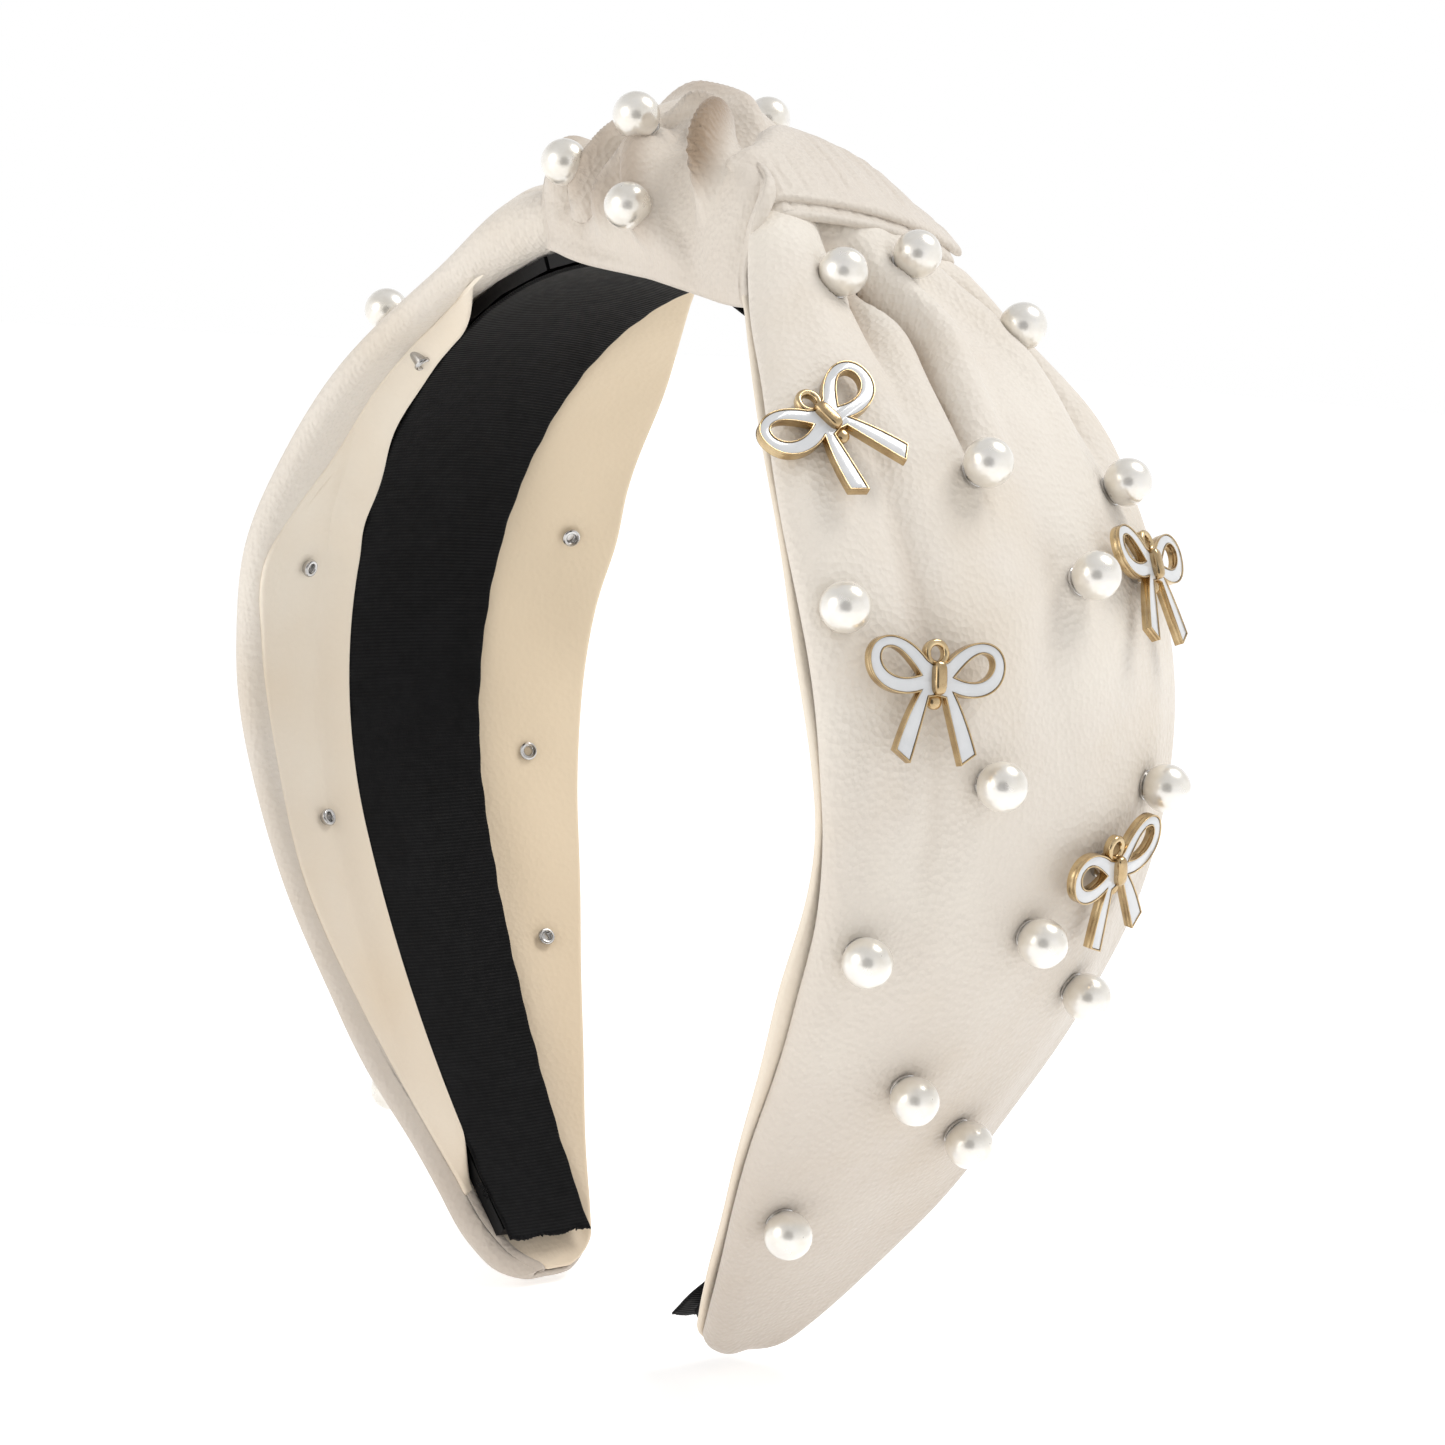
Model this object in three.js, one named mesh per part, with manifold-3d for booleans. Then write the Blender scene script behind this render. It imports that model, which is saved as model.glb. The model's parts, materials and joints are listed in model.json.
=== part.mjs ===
// Knotted fabric headband on a springy plastic hoop, with pearl studs and swivelling bow charms.
// Millimetres, +Z up, X across the head, -Y to the front. The origin is the middle of the hoop's
// inner face at the crown, where the headband rests on the head.
import * as THREE from "three";
import { mergeVertices } from "three/addons/utils/BufferGeometryUtils.js";
import Module from "manifold-3d";

const wasm = await Module();
wasm.setup();

// ---------- Driving dimensions ----------

// The hoop's inner face follows a round crown arc and then a flatter arm arc, on each side.
// "Along" is the length on that curve from the crown, "across" is measured on an arc from the
// curve towards the back, and "level" is the distance outwards from the inner face.
const CROWN_RADIUS = 58.5;
const CROWN_ARC = 117;
const ARM_RADIUS = 190;
const CROSS_RADIUS = 70;

const RIBBON_END = 179;
const HOOP_END = 177.5;
const SLEEVE_END = { left: 183, right: 180.5 };
const HOOP_HALF_WIDTH = 13;
const HOOP_TAPER = 6.4;
const RIBBON_OVERHANG = 0.4;

const RIBBON_THICKNESS = 0.6;
const HOOP_THICKNESS = 1.8;
const FACING_THICKNESS = 1;
const SLEEVE_THICKNESS = 1.4;
const LAYER_GAP = 0.45;
const PADDING_GAP = 1.2;

// The hoop bends at the crown: each arm turns about a line beside the knot.
const HINGE_ALONG = 16;
const HINGE_GAP = 0.7;
const OPENING_SLOPE = 0.36;

// The sleeve stands up in a puff where it is gathered into the knot.
const PUFF_HEIGHT = { left: 5, right: 11 };
const PUFF_LENGTH = 10;

// Stations along the sleeve are closer together near the knot.
const STATION_CROWDING = 1.3;

// Sleeve outline: half widths of the front and back at stations along each arm.
const SLEEVE_OUTLINE = {
  right: [
    { along: 17, front: 15, back: 17 },
    { along: 45, front: 23, back: 29 },
    { along: 90, front: 26, back: 33 },
    { along: 110, front: 22.5, back: 31 },
    { along: 135, front: 20, back: 24 },
    { along: 166, front: 11, back: 12 },
    { along: 176, front: 7.5, back: 8 },
    { along: 180.5, front: 4.5, back: 4.5 },
  ],
  left: [
    { along: 17, front: 15, back: 17 },
    { along: 45, front: 23, back: 28 },
    { along: 90, front: 27, back: 30 },
    { along: 135, front: 21, back: 23 },
    { along: 168, front: 11, back: 12 },
    { along: 178, front: 7.5, back: 8 },
    { along: 183, front: 4.5, back: 4.5 },
  ],
};

const KNOT_HALF_LENGTH = 12.5;
const KNOT_CENTRE_HEIGHT = 4;
const KNOT_CAVITY = { across: 14.4, up: 13.6 };
const KNOT_WALL = { side: 2, sideBulge: 0.8, top: 2.2, topBulge: 3.2 };
const KNOT_LEG_ANGLE = THREE.MathUtils.degToRad(115);
const KNOT_SKEW = { shift: 1, twist: 4.5 };
const GATHER_HALF_LENGTH = 13;
const GATHER_BASE = 3.2;
const GATHER_CLEARANCE = 0.5;

const PEARL_RADIUS = 3;
const PEARL_SEAT_ANGLE = THREE.MathUtils.degToRad(-50);
const SHANK_RADIUS = 1;
const SHANK_HOLE_RADIUS = 1.5;
const FLANGE_RADIUS = 2.1;
const FLANGE_THICKNESS = 0.5;
const FLANGE_GAP = 0.6;
const KNOT_SHANK_DEPTH = 1.6;
const ROUND_SIDES = 6;
const HOLE_SIDES = 6;
const DRILL_LENGTH = 30;

const BOW_THICKNESS = 1.8;
const BOW_STANDOFF = 1.2;
const BOW_HOLE_RADIUS = 1.4;
const BOW_RING = { height: 2.9, outer: 1.6, inner: 0.9 };
const POST_COLLAR_RADIUS = 1.7;
const POST_HEAD_RADIUS = 1.9;
const POST_HEAD_THICKNESS = 0.6;

// Studs are scattered by hand: along and across for the arms, in whole millimetres.
const STUDS = {
  right: [
    [32, -8], [29, 4], [37, 17], [58, -3], [58, 22], [70, 9], [72, -24], [91, -7],
    [93, 22], [110, -19], [108, 3], [117, 16], [128, -6], [137, 7], [150, -12],
  ],
  left: [
    [43, -16], [50, 9], [57, -9], [88, 7], [79, -20], [115, -16],
    [123, 5], [135, 17], [145, 2], [152, -9],
  ],
};

// Bows: along, across and tilt in degrees, anticlockwise as seen from outside the arm.
const BOWS = {
  right: [
    { along: 51, across: -20, tilt: 25 },
    { along: 80, across: -15, tilt: -6 },
    { along: 68, across: 22, tilt: 0 },
    { along: 101, across: 13, tilt: 18 },
  ],
  left: [
    { along: 40, across: -2, tilt: -20 },
    { along: 94, across: -8, tilt: 8 },
    { along: 74, across: 24, tilt: -5 },
    { along: 107, across: 20, tilt: -15 },
  ],
};

// Studs on the knot: place on its length, from -1 to 1, and angle from its top towards the back.
const KNOT_STUDS = [
  { length: 0.36, angle: -51 },
  { length: -0.47, angle: -70 },
  { length: 0.53, angle: -84 },
  { length: -0.25, angle: 45 },
];

// ---------- Materials ----------

function material(color, roughness, metalness) {
  return new THREE.MeshStandardMaterial({ color, roughness, metalness });
}

const MATERIALS = {
  sleeve: () => material(0xe2dccf, 0.75, 0),
  facing: () => material(0xddcbb0, 0.8, 0),
  ribbon: () => material(0x1b1b1b, 0.8, 0),
  hoop: () => material(0x141414, 0.45, 0),
  pearl: () => material(0xf1ece2, 0.25, 0),
  bow: () => material(0xd8b76a, 0.25, 1),
  post: () => material(0xc9c9cc, 0.3, 1),
};

// ---------- The curved frame that every flexible layer follows ----------

function archPoint(along) {
  const crownAngle = Math.min(along, CROWN_ARC) / CROWN_RADIUS;
  const armAngle = crownAngle + Math.max(along - CROWN_ARC, 0) / ARM_RADIUS;
  const armX = ARM_RADIUS * (Math.sin(armAngle) - Math.sin(crownAngle));
  const armZ = ARM_RADIUS * (Math.cos(armAngle) - Math.cos(crownAngle));
  return {
    x: CROWN_RADIUS * Math.sin(crownAngle) + armX,
    z: CROWN_RADIUS * (Math.cos(crownAngle) - 1) + armZ,
    angle: armAngle,
  };
}

function place(side, along, across, level) {
  const arch = archPoint(along);
  const turn = across / CROSS_RADIUS;
  const out = (CROSS_RADIUS + level) * Math.cos(turn) - CROSS_RADIUS;
  return new THREE.Vector3(
    side * (arch.x + Math.sin(arch.angle) * out),
    (CROSS_RADIUS + level) * Math.sin(turn),
    arch.z + Math.cos(arch.angle) * out,
  );
}

// The outward direction of a layer whose level rises by slope for each millimetre along.
function outwardAt(side, along, across, slope) {
  const angle = archPoint(along).angle;
  const turn = across / CROSS_RADIUS;
  const outward = new THREE.Vector3(
    side * Math.sin(angle) * Math.cos(turn),
    Math.sin(turn),
    Math.cos(angle) * Math.cos(turn),
  );
  const tipward = new THREE.Vector3(side * Math.cos(angle), 0, -Math.sin(angle));
  return outward.addScaledVector(tipward, -slope).normalize();
}

// A box whose points are moved by a formula. Its three inputs run 0 to 1, -1 to 1 and 0 to 1.
function bentBox(segments, mirrored, where) {
  const geometry = new THREE.BoxGeometry(1, 1, 1, ...segments);
  geometry.deleteAttribute("normal");
  geometry.deleteAttribute("uv");
  const points = geometry.getAttribute("position");
  for (let i = 0; i < points.count; i += 1) {
    const place = where(points.getX(i) + 0.5, points.getY(i) * 2, points.getZ(i) + 0.5);
    points.setXYZ(i, place.x, place.y, place.z);
  }
  if (mirrored) {
    turnFacesRound(geometry);
  }
  return mergeVertices(geometry, 1e-4);
}

function turnFacesRound(geometry) {
  const index = geometry.getIndex();
  for (let i = 0; i < index.count; i += 3) {
    const first = index.getX(i);
    index.setX(i, index.getX(i + 1));
    index.setX(i + 1, first);
  }
}

// A smooth cubic through the sleeve outline's stations.
function sleeveHalfWidth(side, along, edge) {
  const outline = side < 0 ? SLEEVE_OUTLINE.left : SLEEVE_OUTLINE.right;
  const last = outline.length - 1;
  let i = 0;
  while (i < last - 1 && along > outline[i + 1].along) {
    i += 1;
  }
  const slopeAt = (k) => {
    const before = outline[Math.max(k - 1, 0)];
    const after = outline[Math.min(k + 1, last)];
    return (after[edge] - before[edge]) / (after.along - before.along);
  };
  const from = outline[i];
  const to = outline[i + 1];
  const span = to.along - from.along;
  const t = THREE.MathUtils.clamp((along - from.along) / span, 0, 1);
  const value = (2 * t ** 3 - 3 * t ** 2 + 1) * from[edge] + (3 * t ** 2 - 2 * t ** 3) * to[edge];
  const bend = (t ** 3 - 2 * t ** 2 + t) * slopeAt(i) + (t ** 3 - t ** 2) * slopeAt(i + 1);
  return value + bend * span;
}

function sleeveAcross(side, along, fraction) {
  const edge = fraction < 0 ? "front" : "back";
  return fraction * sleeveHalfWidth(side, along, edge);
}

function sleeveEnd(side) {
  return side < 0 ? SLEEVE_END.left : SLEEVE_END.right;
}

function hoopHalfWidth(along) {
  return HOOP_HALF_WIDTH - HOOP_TAPER * (Math.abs(along) / RIBBON_END) ** 2.2;
}

// ---------- Levels of the layers ----------

const HOOP_LEVEL = RIBBON_THICKNESS + LAYER_GAP;
const FACING_LEVEL = HOOP_LEVEL + HOOP_THICKNESS + LAYER_GAP;
const FACING_TOP = FACING_LEVEL + FACING_THICKNESS;
const HINGE_LEVEL = HOOP_LEVEL + HOOP_THICKNESS / 2;

function sleeveLevels(side, along, fraction) {
  const height = side < 0 ? PUFF_HEIGHT.left : PUFF_HEIGHT.right;
  const puff = height * Math.exp(-(((along - HINGE_ALONG) / PUFF_LENGTH) ** 2));
  const inner = FACING_TOP + LAYER_GAP + PADDING_GAP * (1 - fraction ** 4) + 0.7 * puff;
  return { inner, outer: inner + SLEEVE_THICKNESS + 0.3 * puff };
}

// Layers beside the knot start further along the higher they are, to leave room to open.
function startAlong(level) {
  const start = HINGE_ALONG + HINGE_GAP / 2;
  return start + OPENING_SLOPE * Math.max(level - HINGE_LEVEL, 0);
}

// ---------- Cutting with manifold-3d ----------

function toSolid(geometry) {
  const mesh = new wasm.Mesh({
    numProp: 3,
    vertProperties: geometry.getAttribute("position").array,
    triVerts: new Uint32Array(geometry.getIndex().array),
  });
  return new wasm.Manifold(mesh);
}

function toGeometry(solid) {
  const mesh = solid.getMesh();
  const geometry = new THREE.BufferGeometry();
  geometry.setAttribute("position", new THREE.BufferAttribute(mesh.vertProperties, 3));
  geometry.setIndex(new THREE.BufferAttribute(mesh.triVerts, 1));
  return geometry;
}

function holeCutter(point, outward, length) {
  const cylinder = new THREE.CylinderGeometry(
    SHANK_HOLE_RADIUS, SHANK_HOLE_RADIUS, length, HOLE_SIDES,
  );
  cylinder.deleteAttribute("normal");
  cylinder.deleteAttribute("uv");
  cylinder.applyQuaternion(new THREE.Quaternion().setFromUnitVectors(THREE.Object3D.DEFAULT_UP, outward));
  cylinder.translate(point.x, point.y, point.z);
  return toSolid(mergeVertices(cylinder, 1e-4));
}

function drill(geometry, cutters) {
  return toGeometry(cutters.reduce((solid, cutter) => solid.subtract(cutter), toSolid(geometry)));
}

// ---------- Hoop, ribbon lining and sleeve layers ----------

function stripGeometry(side, from, to, halfWidthExtra, level, thickness, segments) {
  return bentBox(segments, side < 0, (t, fraction, depth) => {
    const along = THREE.MathUtils.lerp(from, to, t);
    const across = fraction * (hoopHalfWidth(along) + halfWidthExtra);
    return place(side, along, across, level + depth * thickness);
  });
}

function crownStrip(halfWidthExtra, level, thickness) {
  const end = HINGE_ALONG - HINGE_GAP / 2;
  return stripGeometry(1, -end, end, halfWidthExtra, level, thickness, [5, 3, 1]);
}

function armStrip(side, end, halfWidthExtra, level, thickness) {
  const start = HINGE_ALONG + HINGE_GAP / 2;
  return stripGeometry(side, start, end, halfWidthExtra, level, thickness, [16, 3, 1]);
}

function sleeveSkin(side) {
  return bentBox([24, 8, 1], side < 0, (t, fraction, depth) => {
    const atKnot = sleeveLevels(side, HINGE_ALONG, fraction);
    const start = startAlong(THREE.MathUtils.lerp(atKnot.inner, atKnot.outer, depth));
    const along = THREE.MathUtils.lerp(start, sleeveEnd(side), t ** STATION_CROWDING);
    const levels = sleeveLevels(side, along, fraction);
    const level = THREE.MathUtils.lerp(levels.inner, levels.outer, depth);
    return place(side, along, sleeveAcross(side, along, fraction), level);
  });
}

function sleeveFacing(side) {
  return bentBox([20, 6, 1], side < 0, (t, fraction, depth) => {
    const level = FACING_LEVEL + depth * FACING_THICKNESS;
    const along = THREE.MathUtils.lerp(startAlong(level), sleeveEnd(side), t);
    return place(side, along, sleeveAcross(side, along, fraction), level);
  });
}

// A stud or bow over the hoop is fastened in the outer layer alone, because the hoop is behind it.
function fastening(side, along, across) {
  const fraction = across / sleeveHalfWidth(side, along, across < 0 ? "front" : "back");
  const levels = sleeveLevels(side, along, fraction);
  const rise = sleeveLevels(side, along + 1, fraction).outer - levels.outer;
  const overHoop = Math.abs(across) < hoopHalfWidth(along) + FLANGE_RADIUS + LAYER_GAP;
  const innermost = overHoop ? levels.inner : FACING_LEVEL;
  return {
    seat: place(side, along, across, levels.outer),
    outward: outwardAt(side, along, across, rise),
    depth: levels.outer - innermost + FLANGE_GAP,
    overHoop,
  };
}

// ---------- Studs and bows ----------

function latheAlongUp(profile) {
  const points = profile.map(([radius, height]) => new THREE.Vector2(radius, height));
  return new THREE.LatheGeometry(points, ROUND_SIDES);
}

function studGeometry(depth, hasFlange) {
  const profile = [];
  if (hasFlange) {
    profile.push([0, -depth - FLANGE_THICKNESS], [FLANGE_RADIUS, -depth - FLANGE_THICKNESS]);
    profile.push([FLANGE_RADIUS, -depth], [SHANK_RADIUS, -depth]);
  } else {
    profile.push([0, -depth], [SHANK_RADIUS, -depth]);
  }
  const centre = LAYER_GAP - PEARL_RADIUS * Math.sin(PEARL_SEAT_ANGLE);
  profile.push([SHANK_RADIUS, LAYER_GAP]);
  const rings = 4;
  for (let i = 0; i < rings; i += 1) {
    const angle = THREE.MathUtils.lerp(PEARL_SEAT_ANGLE, Math.PI / 2, i / rings);
    profile.push([PEARL_RADIUS * Math.cos(angle), centre + PEARL_RADIUS * Math.sin(angle)]);
  }
  profile.push([0, centre + PEARL_RADIUS]);
  return latheAlongUp(profile);
}

// The post has a flange inside, a collar that spaces the bow off the fabric, and a riveted head.
function postGeometry(depth) {
  const collarTop = BOW_STANDOFF - LAYER_GAP;
  const headBottom = BOW_STANDOFF + BOW_THICKNESS + LAYER_GAP;
  const headTop = headBottom + POST_HEAD_THICKNESS;
  return latheAlongUp([
    [0, -depth - FLANGE_THICKNESS],
    [FLANGE_RADIUS, -depth - FLANGE_THICKNESS],
    [FLANGE_RADIUS, -depth],
    [SHANK_RADIUS, -depth],
    [SHANK_RADIUS, LAYER_GAP],
    [POST_COLLAR_RADIUS, LAYER_GAP],
    [POST_COLLAR_RADIUS, collarTop],
    [SHANK_RADIUS, collarTop],
    [SHANK_RADIUS, headBottom],
    [POST_HEAD_RADIUS, headBottom],
    [0, headTop],
  ]);
}

// Half of the bow's outline, from its lowest middle point round the tail, loop and hanging ring.
function bowOutline() {
  const shape = new THREE.Shape();
  shape.moveTo(0, -2);
  shape.lineTo(1.1, -2.2);
  shape.quadraticCurveTo(2, -5.4, 3.4, -9.8);
  shape.lineTo(5.4, -8.4);
  shape.quadraticCurveTo(4.1, -4.5, 2.4, -1.7);
  shape.bezierCurveTo(5.6, -2.7, 9.2, -1.2, 9.1, 2);
  shape.bezierCurveTo(9, 4.8, 5, 5.9, 1.4, 2.1);
  const start = Math.atan2(2.1 - BOW_RING.height, 1.4);
  shape.absarc(0, BOW_RING.height, BOW_RING.outer, start, Math.PI / 2, false);
  const half = shape.getPoints(3).filter((point, i, all) => i === 0 || !point.equals(all[i - 1]));
  const other = half.slice(1, -1).reverse().map((point) => new THREE.Vector2(-point.x, point.y));
  return new THREE.Shape([...half, ...other]);
}

function loopHole(mirror) {
  const hole = new THREE.Path();
  hole.moveTo(2.3, 0.3);
  hole.bezierCurveTo(4.2, 2.6, 5.8, 3.8, 7.2, 2.9);
  hole.bezierCurveTo(8.4, 1.6, 6.4, -1.2, 2.3, 0.3);
  const points = hole.getPoints(3).slice(0, -1);
  return new THREE.Path(points.map((point) => new THREE.Vector2(mirror * point.x, point.y)));
}

function roundHole(height, radius, sides) {
  const points = [];
  for (let i = 0; i < sides; i += 1) {
    const angle = (2 * Math.PI * i) / sides;
    points.push(new THREE.Vector2(radius * Math.cos(angle), height + radius * Math.sin(angle)));
  }
  return new THREE.Path(points);
}

function bowGeometry() {
  const shape = bowOutline();
  shape.holes.push(loopHole(1), loopHole(-1));
  shape.holes.push(roundHole(BOW_RING.height, BOW_RING.inner, HOLE_SIDES));
  shape.holes.push(roundHole(0, BOW_HOLE_RADIUS, HOLE_SIDES));
  const geometry = new THREE.ExtrudeGeometry(shape, { depth: BOW_THICKNESS, bevelEnabled: false });
  geometry.translate(0, 0, BOW_STANDOFF);
  return geometry;
}

// ---------- The knot ----------

// A point of the knot wrap: length -1 to 1 along X, angle from the top to the back, depth 0 to 1.
function knotPoint(length, angle, depth) {
  const round = Math.sqrt(1 - 0.9 * length * length);
  const side = KNOT_CAVITY.across + depth * (KNOT_WALL.side + KNOT_WALL.sideBulge * round);
  const up = KNOT_CAVITY.up + depth * (KNOT_WALL.top + KNOT_WALL.topBulge * round);
  const level = THREE.MathUtils.clamp(angle, -Math.PI / 2, Math.PI / 2);
  const skew = KNOT_SKEW.shift - KNOT_SKEW.twist * Math.cos(angle);
  return new THREE.Vector3(
    length * KNOT_HALF_LENGTH + skew,
    side * Math.sin(level),
    KNOT_CENTRE_HEIGHT + up * Math.cos(angle),
  );
}

function knotStudPlace(stud) {
  const angle = THREE.MathUtils.degToRad(stud.angle);
  const outward = new THREE.Vector3(0.35 * stud.length, Math.sin(angle), Math.cos(angle));
  return { seat: knotPoint(stud.length, angle, 1), outward: outward.normalize() };
}

function knotWrap() {
  const wrap = bentBox([8, 16, 1], false, (t, fraction, depth) =>
    knotPoint(2 * t - 1, fraction * KNOT_LEG_ANGLE, depth),
  );
  const cutLength = 2 * (KNOT_WALL.top + KNOT_WALL.topBulge) + 2;
  const cutters = KNOT_STUDS.map((stud) => {
    const { seat, outward } = knotStudPlace(stud);
    return holeCutter(seat, outward, cutLength);
  });
  return drill(wrap, cutters);
}

// The sleeves' gathered middle, which runs through the knot over the hoop.
function knotGather() {
  const shape = new THREE.Shape();
  const across = KNOT_CAVITY.across - GATHER_CLEARANCE;
  const up = KNOT_CAVITY.up - GATHER_CLEARANCE;
  shape.moveTo(across, GATHER_BASE);
  shape.absellipse(0, KNOT_CENTRE_HEIGHT, across, up, 0, Math.PI, false);
  shape.lineTo(-across, GATHER_BASE);
  const geometry = new THREE.ExtrudeGeometry(shape, {
    depth: 2 * GATHER_HALF_LENGTH, bevelEnabled: false, curveSegments: 10,
  });
  geometry.translate(0, 0, -GATHER_HALF_LENGTH);
  geometry.rotateX(Math.PI / 2);
  geometry.rotateZ(Math.PI / 2);
  return geometry;
}

// ---------- Assembly ----------

const headband = new THREE.Group();

// The seat is the flat facet at the middle of the crown lining, and it is at height 0.
const seatEnd = (HINGE_ALONG - HINGE_GAP / 2) / 5;
const seatSide = (hoopHalfWidth(seatEnd) + RIBBON_OVERHANG) / 3;
headband.position.z = -place(1, seatEnd, seatSide, 0).z;

function addMesh(parent, name, geometry, look) {
  const mesh = new THREE.Mesh(geometry, MATERIALS[look]());
  mesh.name = name;
  parent.add(mesh);
  return mesh;
}

function aimUp(mesh, seat, outward) {
  mesh.position.copy(seat);
  mesh.quaternion.setFromUnitVectors(THREE.Object3D.DEFAULT_UP, outward);
}

// A bow faces outwards with its loops towards the crown, turned by its tilt.
function aimBow(mesh, side, bow, place) {
  const { seat, outward } = place;
  const angle = archPoint(bow.along).angle;
  const crownward = new THREE.Vector3(-side * Math.cos(angle), 0, Math.sin(angle));
  const sideways = new THREE.Vector3().crossVectors(crownward, outward).normalize();
  const upwards = new THREE.Vector3().crossVectors(outward, sideways);
  mesh.position.copy(seat);
  mesh.quaternion.setFromRotationMatrix(new THREE.Matrix4().makeBasis(sideways, upwards, outward));
  mesh.rotateZ(THREE.MathUtils.degToRad(bow.tilt));
}

function addCrown() {
  const crown = new THREE.Group();
  addMesh(crown, "hoop_crown", crownStrip(0, HOOP_LEVEL, HOOP_THICKNESS), "hoop");
  addMesh(crown, "lining_crown", crownStrip(RIBBON_OVERHANG, 0, RIBBON_THICKNESS), "ribbon");
  addMesh(crown, "knot_wrap", knotWrap(), "sleeve");
  addMesh(crown, "knot_gather", knotGather(), "sleeve");
  KNOT_STUDS.forEach((stud, i) => {
    const { seat, outward } = knotStudPlace(stud);
    const pearl = addMesh(crown, `pearl_knot_${i + 1}`, studGeometry(KNOT_SHANK_DEPTH, false), "pearl");
    aimUp(pearl, seat, outward);
  });
  headband.add(crown);
}

function addArm(name, side) {
  const arm = new THREE.Group();
  const studPlaces = STUDS[name].map(([along, across]) => fastening(side, along, across));
  const bowPlaces = BOWS[name].map((bow) => fastening(side, bow.along, bow.across));
  const everyPlace = [...studPlaces, ...bowPlaces];
  const cut = (place) => holeCutter(place.seat, place.outward, DRILL_LENGTH);
  const throughBoth = everyPlace.filter((place) => !place.overHoop);

  addMesh(arm, `hoop_${name}`, armStrip(side, HOOP_END, 0, HOOP_LEVEL, HOOP_THICKNESS), "hoop");
  const lining = armStrip(side, RIBBON_END, RIBBON_OVERHANG, 0, RIBBON_THICKNESS);
  addMesh(arm, `lining_${name}`, lining, "ribbon");
  addMesh(arm, `sleeve_${name}`, drill(sleeveSkin(side), everyPlace.map(cut)), "sleeve");
  addMesh(arm, `facing_${name}`, drill(sleeveFacing(side), throughBoth.map(cut)), "facing");

  studPlaces.forEach((place, i) => {
    const pearl = addMesh(arm, `pearl_${name}_${i + 1}`, studGeometry(place.depth, true), "pearl");
    aimUp(pearl, place.seat, place.outward);
  });
  bowPlaces.forEach((place, i) => {
    const post = addMesh(arm, `post_${name}_${i + 1}`, postGeometry(place.depth), "post");
    aimUp(post, place.seat, place.outward);
    const bow = addMesh(arm, `bow_${name}_${i + 1}`, bowGeometry(), "bow");
    aimBow(bow, side, BOWS[name][i], place);
  });
  headband.add(arm);
}

addCrown();
addArm("left", -1);
addArm("right", 1);

export default headband;
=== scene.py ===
import json
import math

import bmesh
import bpy
import numpy as np
from mathutils import Matrix, Vector


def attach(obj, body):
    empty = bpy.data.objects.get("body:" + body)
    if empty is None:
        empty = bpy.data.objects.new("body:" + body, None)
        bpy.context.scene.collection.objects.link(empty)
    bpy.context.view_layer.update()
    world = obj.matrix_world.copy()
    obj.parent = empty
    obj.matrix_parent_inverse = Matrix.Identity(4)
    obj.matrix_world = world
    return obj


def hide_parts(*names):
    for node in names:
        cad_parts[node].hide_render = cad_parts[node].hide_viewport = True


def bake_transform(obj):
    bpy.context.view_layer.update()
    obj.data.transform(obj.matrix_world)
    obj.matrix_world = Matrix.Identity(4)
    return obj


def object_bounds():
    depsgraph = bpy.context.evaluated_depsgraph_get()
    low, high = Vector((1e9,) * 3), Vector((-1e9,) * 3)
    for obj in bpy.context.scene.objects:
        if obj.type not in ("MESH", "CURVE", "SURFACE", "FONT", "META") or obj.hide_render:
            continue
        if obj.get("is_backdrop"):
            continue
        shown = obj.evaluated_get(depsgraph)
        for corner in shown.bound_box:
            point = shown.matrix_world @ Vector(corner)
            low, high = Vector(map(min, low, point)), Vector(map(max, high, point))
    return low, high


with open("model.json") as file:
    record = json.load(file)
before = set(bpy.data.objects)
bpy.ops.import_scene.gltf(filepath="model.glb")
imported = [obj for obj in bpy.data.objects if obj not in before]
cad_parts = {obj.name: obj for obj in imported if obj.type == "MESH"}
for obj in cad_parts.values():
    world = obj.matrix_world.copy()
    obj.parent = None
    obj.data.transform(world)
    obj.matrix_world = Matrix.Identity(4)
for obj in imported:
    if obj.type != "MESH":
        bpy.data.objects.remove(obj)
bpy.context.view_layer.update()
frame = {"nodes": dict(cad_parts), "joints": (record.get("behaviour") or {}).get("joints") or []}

# Shapes are worked out in millimetres and made into meshes in metres.
MM = 0.001
TURNED_SHARP_ANGLE = 40
CAST_SHARP_ANGLE = 35
SCENE = bpy.context.scene

# ---------- Camera and lights ----------

VIEW_AZIMUTH = math.radians(49.36)
VIEW_ELEVATION = math.radians(7.52)
VIEW_ROLL = math.radians(3.96)
VIEW_DISTANCE = 0.45
VIEW_TARGET = Vector((0, 0, -0.0598))
FOCAL_LENGTH = 85.2
SENSOR_WIDTH = 36
LENS_SHIFT = (0.0345, -0.0008)

# Name, direction as shares of the camera's right, up and back, distance, size, power and colour.
LIGHTS = [
    ("key", (0.75, 1.05, 0.1), 0.55, 0.26, 1.25, (1, 0.99, 0.97)),
    ("fill", (-0.9, 0.3, 0.6), 0.7, 0.5, 0.9, (1, 0.96, 0.9)),
]
# A studio tent: white round the horizon, dimmer overhead.
TENT_TONES = [(0.2, (1, 1, 1, 1)), (0.7, (0.62, 0.62, 0.63, 1))]


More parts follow.
